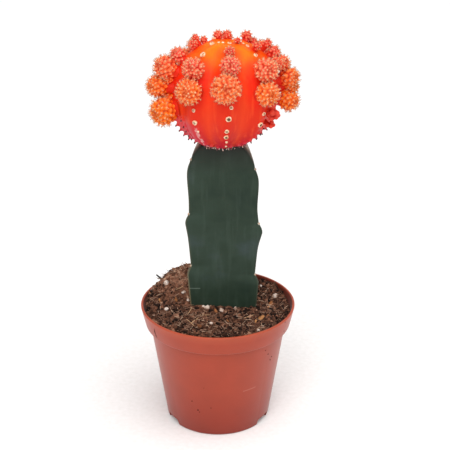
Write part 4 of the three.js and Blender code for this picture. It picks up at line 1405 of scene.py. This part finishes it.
# %% Build the offsets
# A neck's radius at its foot as a share of the offset's size, how deep the foot is sunk, and how
# much the neck is pinched between
NECK_SHARE = 0.33
NECK_DEPTH = 1.2
NECK_RINGS = 4
NECK_PINCH = 0.12
# A wart's reach as a share of the distance between warts, and the power by which it falls away
WART_WIDTH = 0.64
WART_ROUNDNESS = 1.05
# Rows and columns for each millimetre of an offset's size, and the fewest and most of them
ROWS_PER_MM, ROW_LIMITS = 3.2, (14, 38)
COLUMNS_PER_MM, COLUMN_LIMITS = 8, (36, 92)


def offset_skin(size, widest, depth, apex, warts, roundness):
    """An offset with its middle at 0, standing along +Z: warty rows down and round, then a smooth
    run down to the neck. Marks give the height on a wart and the way down from the apex."""
    columns = int(np.clip(size * COLUMNS_PER_MM, *COLUMN_LIMITS))
    rows = int(np.clip(size * ROWS_PER_MM, *ROW_LIMITS))
    down = np.radians(np.linspace(OFFSET_SPAN / rows / 2, OFFSET_SPAN, rows))[:, None]
    turn = full_turn(columns)
    ways = round_axis(np.sin(down), turn, np.cos(down))
    directions, downs, grown = warts
    gap = np.arccos(np.clip(ways @ directions.T, -1, 1)) * size / 2
    width = WART_WIDTH * wart_pitch(widest, downs)
    rise = (grown * (1 - (gap / width) ** roundness)).max(-1).clip(0)
    from_apex = np.arccos(np.clip(ways @ apex, -1, 1))
    radius = size / 2 - wart_depth(size, widest, from_apex, rise)
    globe_rings = ways * radius[..., None]
    foot = -depth - NECK_DEPTH
    share = np.linspace(0, 1, NECK_RINGS + 1)[1:, None, None]
    neck = round_axis(1, turn, 0) * NECK_SHARE * size + [0, 0, foot]
    neck_rings = globe_rings[-1] * (1 - share) + neck * share
    neck_rings[..., :2] *= 1 - NECK_PINCH * np.sin(np.pi * share)
    skin = closed_skin(np.concatenate([globe_rings, neck_rings]), (0, 0, radius[0].mean()), (0, 0, foot))
    below = NECK_RINGS * columns + 1
    wart = np.concatenate([[rise[0].mean()], rise.ravel(), np.zeros(below)])
    way = np.concatenate([[from_apex[0].mean()], from_apex.ravel(), np.full(below, np.pi)]) / np.pi
    return *skin, wart, way


# Offsets flush from this latitude on, over so many degrees: the youngest, near the crown, are the reddest
FLUSH_FROM, FLUSH_OVER = 4, 42
# How much of the painted highlight the wart tips get, on small and on large offsets
TIP_HIGHLIGHT = [3, 7], [0.68, 1]

sprouts = []
made = []
reached = 0
for number, (turn, latitude, size, stand) in enumerate(GROWN):
    widest = widest_pitch(size)
    middle, depth, axes, apex, warts = sprout(turn, latitude, size, stand, widest, FRONT_LEAN, number)
    points, faces, wart, way = offset_skin(size, widest, depth, apex, warts, WART_ROUNDNESS)
    flush = np.full(len(points), np.clip((latitude - FLUSH_FROM) / FLUSH_OVER, 0, 1))
    # Smaller offsets get less of the painted highlight at their wart tips.
    wart = wart * np.interp(size, *TIP_HIGHLIGHT)
    made.append((points @ axes.T + middle, faces[0] + reached, faces[1] + reached, wart, way, flush))
    reached += len(points)
    sprouts.append((size, widest, middle, axes, warts))
points, quads, fans, wart, way, flush = map(np.concatenate, zip(*made))

# %% [markdown]
# The offsets are young flesh, a lighter orange than the globe, with a painted highlight of peach at
# each wart's tip and painted shade of red in the creases, and red-brown at the apex where the
# youngest warts crowd. Those towards the crown are flushed with red and rose.


# %% Young warty flesh
def offset_flesh():
    """Red creases of painted shade, orange body, peach tips of painted highlight by mark wart; redder by way
    and flush.
    """
    material, add, place = flesh("orange_offset_skin", 0.45)
    wart, way, flush = (add("Attribute", out="Fac", attribute_name=mark) for mark in ("wart", "way", "flush"))
    # Each ramp runs from painted shade in the creases to a painted highlight at the wart tips.
    oranges = [(0.05, "cc400c"), (0.3, "f06a14"), (0.6, "fe8624"), (1, "ffaa68")]
    reds = [(0.05, "c02418"), (0.3, "f05a44"), (0.6, "fe8c70"), (1, "ffc8b4")]
    young, red = (add("ValToRGB", {"Fac": wart}, stops=stops) for stops in (oranges, reds))
    clouds = add("TexNoise", {"Vector": place, "Scale": per(4), "Detail": 2})
    flushed = add("Math", {0: clouds, 1: 0.6, 2: flush}, operation="MULTIPLY_ADD")
    colour = tinted(add, young, red, flushed, low=0.25, high=1.15)
    colour = tinted(add, colour, "a43010", way, low=0.16, high=0, most=0.75)
    colour = tinted(add, colour, "dc2a10", way, low=0.56, high=0.8)
    # The skin's cells are about 0.05 mm across, too fine to show, so they are drawn as 0.5 mm
    grain = add("TexNoise", {"Vector": place, "Scale": per(0.5), "Detail": 2})
    return paint(material, colour, grain, 0.2, 0.1)


offset_material = offset_flesh()
marks = {"wart": wart, "way": way, "flush": flush}
piece("offsets", (points, [quads, fans]), offset_material, marks)

# %% [markdown]
# Two young offsets low down on the right have no wool yet. They are crimson knobs, each a cluster of
# a few wide round lobes, and have turned outward and down.

# %% Build the bare knobs
# The share of the painted highlight on its lobes that a knob keeps, its mark way at the apex and how
# much that grows down to the foot, and how flushed it is
KNOB_HIGHLIGHT = 0.25
KNOB_WAY = 0.2, 0.4
KNOB_FLUSH = 1.2

for number, (turn, latitude, size, stand) in enumerate(BARE_KNOBS):
    middle, depth, axes, apex, warts = sprout(turn, latitude, size, stand, KNOB_PITCH, KNOB_LEAN, number)
    points, faces, wart, way = offset_skin(size, KNOB_PITCH, depth, apex, warts, KNOB_ROUNDNESS)
    marks = {"wart": KNOB_HIGHLIGHT * wart, "way": KNOB_WAY[0] + KNOB_WAY[1] * way, "flush": KNOB_FLUSH}
    piece(f"bare_knob_{number + 1}", (points @ axes.T + middle, faces), offset_material, marks)

# %% [markdown]
# ## Wool and spines
# A cactus keeps its spines on areoles, little cushions of felt. Each wart of an offset bears a tiny
# pad of cream wool with a few short spines, pale at the foot and dark at the point. At the size of
# the picture a real spine would be far thinner than a pixel and vanish, so they are drawn about
# twice as thick as they are.

# %% Set wool on the warts
WOOL_SIZE = 0.52
WOOL_SINK = 0.1
# A spine's length as a share of its offset's size
SPINE_SHARE = 0.115
# Warts bear wool from this far down from the apex on, and as far as this down the offset itself
FIRST_BEARING, LAST_BEARING = math.radians(15), math.radians(118)
# How large a pad is, for close and for wide warts, and how much it varies
PAD_FOR_PITCH = [0.8, 2.2], [0.7, 1.1]
PAD_VARIES = 0.5, 1.25
PAD_FLATNESS = np.array([1, 1, 0.7])
# How dark a pad's heart may be, and how often it is so
PAD_HEARTS, PAD_CHANCES = [0, 0.15, 0.6], [0.55, 0.25, 0.2]

found = []
for size, widest, middle, axes, (directions, downs, grown) in sprouts:
    bearing = (downs > FIRST_BEARING) & (directions[:, 2] > math.cos(LAST_BEARING))
    directions, downs, grown = directions[bearing], downs[bearing], grown[bearing]
    radius = size / 2 - wart_depth(size, widest, downs, grown)
    tips = (directions * radius[:, None]) @ axes.T + middle
    lengths = np.full(len(downs), SPINE_SHARE * size)
    found.append((tips, directions @ axes.T, wart_pitch(widest, downs), lengths))
tips, ways, pitches, spine_lengths = map(np.concatenate, zip(*found))
print(len(tips), "warts")

rng = np.random.default_rng(89)
pad = rough_balls(len(tips), rng, rows=3, columns=6, jitter=0.2)
share = np.interp(pitches, *PAD_FOR_PITCH)[:, None] * rng.uniform(*PAD_VARIES, (len(tips), 1))
wool_sizes = WOOL_SIZE / 2 * share * PAD_FLATNESS
wool = copies(pad, tips - ways * WOOL_SINK, spun(ways, rng), wool_sizes)
hearts = each_point(rng.choice(PAD_HEARTS, len(tips), p=PAD_CHANCES), pad)

# %% [markdown]
# Plant wool is a mat of fine hairs that scatter light every way, so it is matt, with a soft sheen at
# its edge. It is cream on young warts and rosy on the crest, and weathers to grey on the stock. The
# same dry, mottled stuff serves for tooth tips and shreds. Spines are horn, and darken to the point.


# %% Felt and spine materials
def felt(name, stops):
    """Plant wool: soft, matt and mottled, with a dark heart by the mark core."""
    material, add, place = start(name, Roughness=0.9, IOR=1.35, Sheen_Weight=0.3)
    tint = add("TexNoise", {"Vector": place, "Scale": per(0.9), "Detail": 3})
    core = add("Attribute", out="Fac", attribute_name="core")
    colour = tinted(add, add("ValToRGB", {"Fac": tint}, stops=stops), "3a1d14", core)
    # Its hairs are about 0.02 mm thick, too fine to show, so they are drawn as tufts of 0.3 mm
    tufts = add("TexNoise", {"Vector": place, "Scale": per(0.3), "Detail": 3})
    return paint(material, colour, tufts, 0.7, 0.2)


def spine_horn():
    """Horny spines: cream and rose at the foot, grey-brown at the point by the mark along."""
    material, add, place = start("spine_horn", Roughness=0.5, IOR=1.5)
    along = add("Attribute", out="Fac", attribute_name="along")
    banding = add("TexNoise", {"Vector": place, "Scale": per(0.7), "Detail": 2})
    shifted = add("Math", {0: banding, 1: 0.3, 2: along}, operation="MULTIPLY_ADD")
    horns = [(0.35, "ffce9c"), (0.65, "ee9c72"), (0.88, "8c4e3e"), (1, "4a302e")]
    return paint(material, add("ValToRGB", {"Fac": shifted}, stops=horns), banding, 0.1, 0.1)


# Each felt's colours where its mottling is darkest, middling and palest
FELTS = {
    "areole_wool": ("ec8c50", "fcbe82", "ffe8c0"),
    "areole_ring": ("f0b080", "fcd8ac", "fff2da"),
    "dried_tip": ("421018", "6a222e", "b06066"),
    "dried_shreds": ("c47264", "e8b4a4", "fae6dc"),
    "weathered_wool": ("5c5344", "958b78", "cbc2b0"),
}
MOTTLING = (0.36, 0.5, 0.64)

felts = {name: felt(name, list(zip(MOTTLING, colours))) for name, colours in FELTS.items()}
spine_material = spine_horn()
piece("offset_wool", wool, felts["areole_wool"], {"core": hearts})

# %% [markdown]
# A spine is a thin cone with a slight bend. The ones on a wart are splayed out round its felt, so
# on an offset's outline they bristle, and on its face they draw each pad out into a small star.

# %% Set the offsets' spines
# The heights of a spine's rings of points and their radii, for a length of one and a width of one
SPINE_HEIGHTS = np.array([[0.92], [0.6], [0.25], [0.0]])
SPINE_RADII = 0.5 * np.array([[0.16], [0.6], [0.9], [1.0]])
SPINE_SIDES = 3
SPINE_BEND = 0.12
SPINES_EACH = 5
SPINE_THICKNESS = 0.2
SPINE_SPLAY = math.radians(58)
# How far a spine's turn round the wart may stray, and the ranges of its splay and its length
SPIN_STRAY = 0.7
SPLAY_VARIES, LENGTH_VARIES = (0.4, 1.4), (0.7, 1.25)


def spine_shape():
    """A spine one long and one wide at its foot, drawn to a point along a slight bend: its middle
    line leaves +Z by the square of the height. The heights are also its mark from foot to tip."""
    bend = [SPINE_BEND, 0, 0] * SPINE_HEIGHTS[..., None] ** 2
    rings = round_axis(SPINE_RADII, full_turn(SPINE_SIDES), SPINE_HEIGHTS) + bend
    points, faces = closed_skin(rings, (SPINE_BEND, 0, 1), (0, 0, -0.1))
    return (points, faces), np.clip(points[:, 2], 0, 1)


def set_spines(name, places, ways, each, length, thickness, splay, slot, seed):
    """Spines on areoles: some at each place, tipped from its way by the splay and turned evenly
    round it."""
    rng = np.random.default_rng(seed)
    count = len(places) * each
    spin = np.tile(full_turn(each), len(places)) + rng.uniform(-SPIN_STRAY, SPIN_STRAY, count)
    axes = facing(np.repeat(ways, each, axis=0), spin)
    tip = (splay * rng.uniform(*SPLAY_VARIES, count))[:, None]
    leaning = axes[..., 2] * np.cos(tip) + axes[..., 0] * np.sin(tip)
    shape, along = spine_shape()
    tall = np.repeat(np.broadcast_to(length, len(places)), each) * rng.uniform(*LENGTH_VARIES, count)
    wide = np.full(count, thickness)
    turns = spun(leaning, rng)
    spines = copies(shape, np.repeat(places, each, axis=0), turns, np.stack([wide, wide, tall], -1))
    return piece(name, spines, spine_material, {"along": np.tile(along, count)})


for name, half in (("left", tips[:, 0] < STOCK_X), ("right", tips[:, 0] >= STOCK_X)):
    bristles = SPINES_EACH, spine_lengths[half], SPINE_THICKNESS, SPINE_SPLAY
    set_spines(f"offset_spines_{name}", tips[half], ways[half], *bristles, "scion", 13)

# %% [markdown]
# The areoles on the globe's own ribs and on the stock's are larger: a ring of felt round a darker
# heart, which is a turned shape with a ragged edge, and a few spines.

# %% Build the areoles of the globe
# Radius and height of the felt ring's rings of points, and how dark each is, for a size of one
FELT_PROFILE = np.array(
    [(0.12, 0.08, 1), (0.26, 0.09, 1), (0.32, 0.24, 0.2), (0.42, 0.24, 0), (0.5, 0.1, 0), (0.46, -0.15, 0)]
)
FELT_SIDES = 14
FELT_RAGGEDNESS = 0.14
FELT_MIDDLE, FELT_FOOT = (0, 0, 0.1), (0, 0, -0.25)
# Which areoles bear spines: those with a darkness below the one and a size above the other
BARE_DARKNESS, BARE_SIZE = 0.55, 1.2
CREST_SPINES, CREST_SPINE_LENGTH, CREST_SPINE_THICKNESS = 6, 0.7, 0.26
CREST_SPLAY = math.radians(35)


def felt_rings(name, places, ways, size, dark, material, seed):
    """Rings of felt that face along the ways, each with a ragged edge and a more or less dark heart."""
    rng = np.random.default_rng(seed)
    out, up, core = FELT_PROFILE.T[..., None]
    points, faces = closed_skin(round_axis(out, full_turn(FELT_SIDES), up), FELT_MIDDLE, FELT_FOOT)
    core = np.concatenate([[1], np.repeat(core[:, 0], FELT_SIDES), [0]])
    ragged = points * (1 + FELT_RAGGEDNESS * rng.uniform(-1, 1, (len(places), len(points), 1)))
    rings = copies((ragged, faces), places, spun(ways, rng), size[:, None] * np.ones(3))
    return piece(name, rings, material, {"core": np.outer(dark, core).ravel()})


turn, latitude, size, dark = AREOLES.T
ways = globe_way(turn, latitude)
places = on_globe(turn, latitude) + ways * CHIN
felt_rings("crest_areoles", places, ways, size, dark, felts["areole_ring"], 31)
spiny = (dark < BARE_DARKNESS) & (size > BARE_SIZE)
slim = CREST_SPINES, CREST_SPINE_LENGTH * size[spiny], CREST_SPINE_THICKNESS, CREST_SPLAY
set_spines("crest_spines", places[spiny], ways[spiny], *slim, "scion", 32)

# %% [markdown]
# The stock's areoles lie along its rib edges, one at each swelling. They are older than the globe's:
# small and weathered to grey, with a few short spines.

# %% Build the stock's areoles
STOCK_AREOLE_SIZE, STOCK_AREOLE_DARKNESS = 1.1, 0.2
STOCK_SPINES, STOCK_SPINE_LENGTH, STOCK_SPINE_THICKNESS = 4, 0.9, 0.2
STOCK_SPLAY = math.radians(55)

node_places, node_ways = [], []
for rib_turn, node_height in zip(RIB_TURNS, NODE_HEIGHTS):
    highest = node_height + NODE_SPACING * math.floor((HIGHEST_NODE - node_height) / NODE_SPACING)
    heights = np.arange(highest, LOWEST_NODE, -NODE_SPACING)
    angles = np.full(len(heights), math.radians(rib_turn))
    node_places.append(on_stock(angles, heights, stock_radius(angles, heights)[0]))
    node_ways.append(np.stack([np.cos(angles), np.sin(angles), NODE_TILT + 0 * angles], -1))
places, ways = np.concatenate(node_places), unit(np.concatenate(node_ways))
size = np.full(len(places), STOCK_AREOLE_SIZE)
dark = np.full(len(places), STOCK_AREOLE_DARKNESS)
felt_rings("stock_areoles", places, ways, size, dark, felts["weathered_wool"], 41)
slim = STOCK_SPINES, STOCK_SPINE_LENGTH * size, STOCK_SPINE_THICKNESS, STOCK_SPLAY
set_spines("stock_spines", places, ways, *slim, "rootstock", 42)

# %% [markdown]
# The teeth on the globe's lowest skin end in dry dark points. Where the globe was set on the stock,
# shreds of dried skin and old felt hang along the join, some pale and some dark. Both are rough
# flakes about a millimetre long.

# %% Dry the tooth tips and hang shreds round the graft
TIP_SIZE = np.array([0.34, 0.34, 0.5])
TIP_DROP = np.array([0, 0, 0.5])
DARKEST_TIP = 0.6
SHREDS = 90
SHRED_LIFT = 0.3
# How far shreds stray from an even turn, how high above the globe's edge they start, and how they
# hang: the spread of their ways, their droop, their size and its share
SHRED_STRAY, SHRED_RISE = 2, (0.5, 5)
SHRED_SPREAD, SHRED_DROOP = 0.4, np.array([0, 0, 0.9])
SHRED_SIZE, SHRED_VARIES = np.array([0.2, 0.36, 0.7]), (0.5, 1)
# How dark a shred may be, and how often it is so
SHRED_SHADES, SHRED_CHANCES = [0, 0.1, 0.4, 1], [0.3, 0.2, 0.2, 0.3]

rng = np.random.default_rng(71)
turn, latitude = np.array(TEETH, float).T
ways = globe_way(turn, latitude)
places = on_globe(turn, latitude) + ways * TOOTH
shape = rough_balls(len(turn), rng, rows=4, columns=6, jitter=0.25)
points, faces = copies(shape, places, spun(ways - TIP_DROP, rng), TIP_SIZE * np.ones((len(turn), 1)))
core = each_point(rng.uniform(0, DARKEST_TIP, len(turn)), shape)
piece("tooth_tips", (points, faces), felts["dried_tip"], {"core": core})

turn = np.linspace(-180, 180, SHREDS, endpoint=False) + rng.uniform(-SHRED_STRAY, SHRED_STRAY, SHREDS)
latitude = LOWEST + rng.uniform(*SHRED_RISE, SHREDS)
ways = globe_way(turn, latitude)
places = on_globe(turn, latitude) + ways * SHRED_LIFT
hanging = unit(ways * [1, 1, 0] + rng.normal(scale=SHRED_SPREAD, size=ways.shape) - SHRED_DROOP)
shape = rough_balls(SHREDS, rng, rows=4, columns=6, jitter=0.35)
sizes = rng.uniform(*SHRED_VARIES, (SHREDS, 1)) * SHRED_SIZE
shreds = copies(shape, places, spun(hanging, rng), sizes)
core = each_point(rng.choice(SHRED_SHADES, SHREDS, p=SHRED_CHANCES), shape)
piece("graft_shreds", shreds, felts["dried_shreds"], {"core": core})

# %% [markdown]
# ## Floor and light
# The plant stands on a plain pale sheet in soft light from all sides, as in a light tent: a white
# world, a lamp in front and above, and a broad soft light like an overcast sky. White surroundings
# give the pot's sides their pale sheen. The standard view keeps the oranges as bright as they are.

# %% Floor
FLOOR_REACH = 1200

corners = np.array([(-1, -1, 0), (1, -1, 0), (1, 1, 0), (-1, 1, 0)], float) * FLOOR_REACH
floor = bare_piece("floor", (corners, [np.array([[0, 1, 2, 3]])]))
paper, add, place = start("white_paper", Roughness=0.9)
tooth = add("TexNoise", {"Vector": place, "Scale": per(2), "Detail": 3})
white = add("ValToRGB", {"Fac": tooth}, stops=[(0.3, "f4f3f1"), (0.7, "fbfaf9")])
floor.data.materials.append(paint(paper, white, tooth, 0.05, 0.1))

# %% Light
WORLD_STRENGTH = 0.55


def set_lamp(name, kind, place, aim, **settings):
    """Adds a lamp at a place in metres, turned to face a point."""
    lamp = bpy.data.lights.new(name, kind)
    for setting, value in settings.items():
        setattr(lamp, setting, value)
    obj = bpy.data.objects.new(name, lamp)
    obj.location = place
    obj.rotation_euler = mathutils.Matrix(facing(np.subtract(place, aim)).tolist()).to_euler()
    scene.collection.objects.link(obj)


scene.world = bpy.data.worlds.new("light_tent")
scene.world.use_nodes = True
background = scene.world.node_tree.nodes["Background"].inputs
background["Color"].default_value = (1, 1, 1, 1)
background["Strength"].default_value = WORLD_STRENGTH
set_lamp("front_lamp", "AREA", (-0.25, -0.75, 0.75), (0, 0, 0.09), size=0.5, energy=3.5)
set_lamp("sky_lamp", "SUN", (0.25, -0.35, 1), (0, 0, 0), angle=math.radians(70), energy=1.85)
scene.view_settings.view_transform = "Standard"
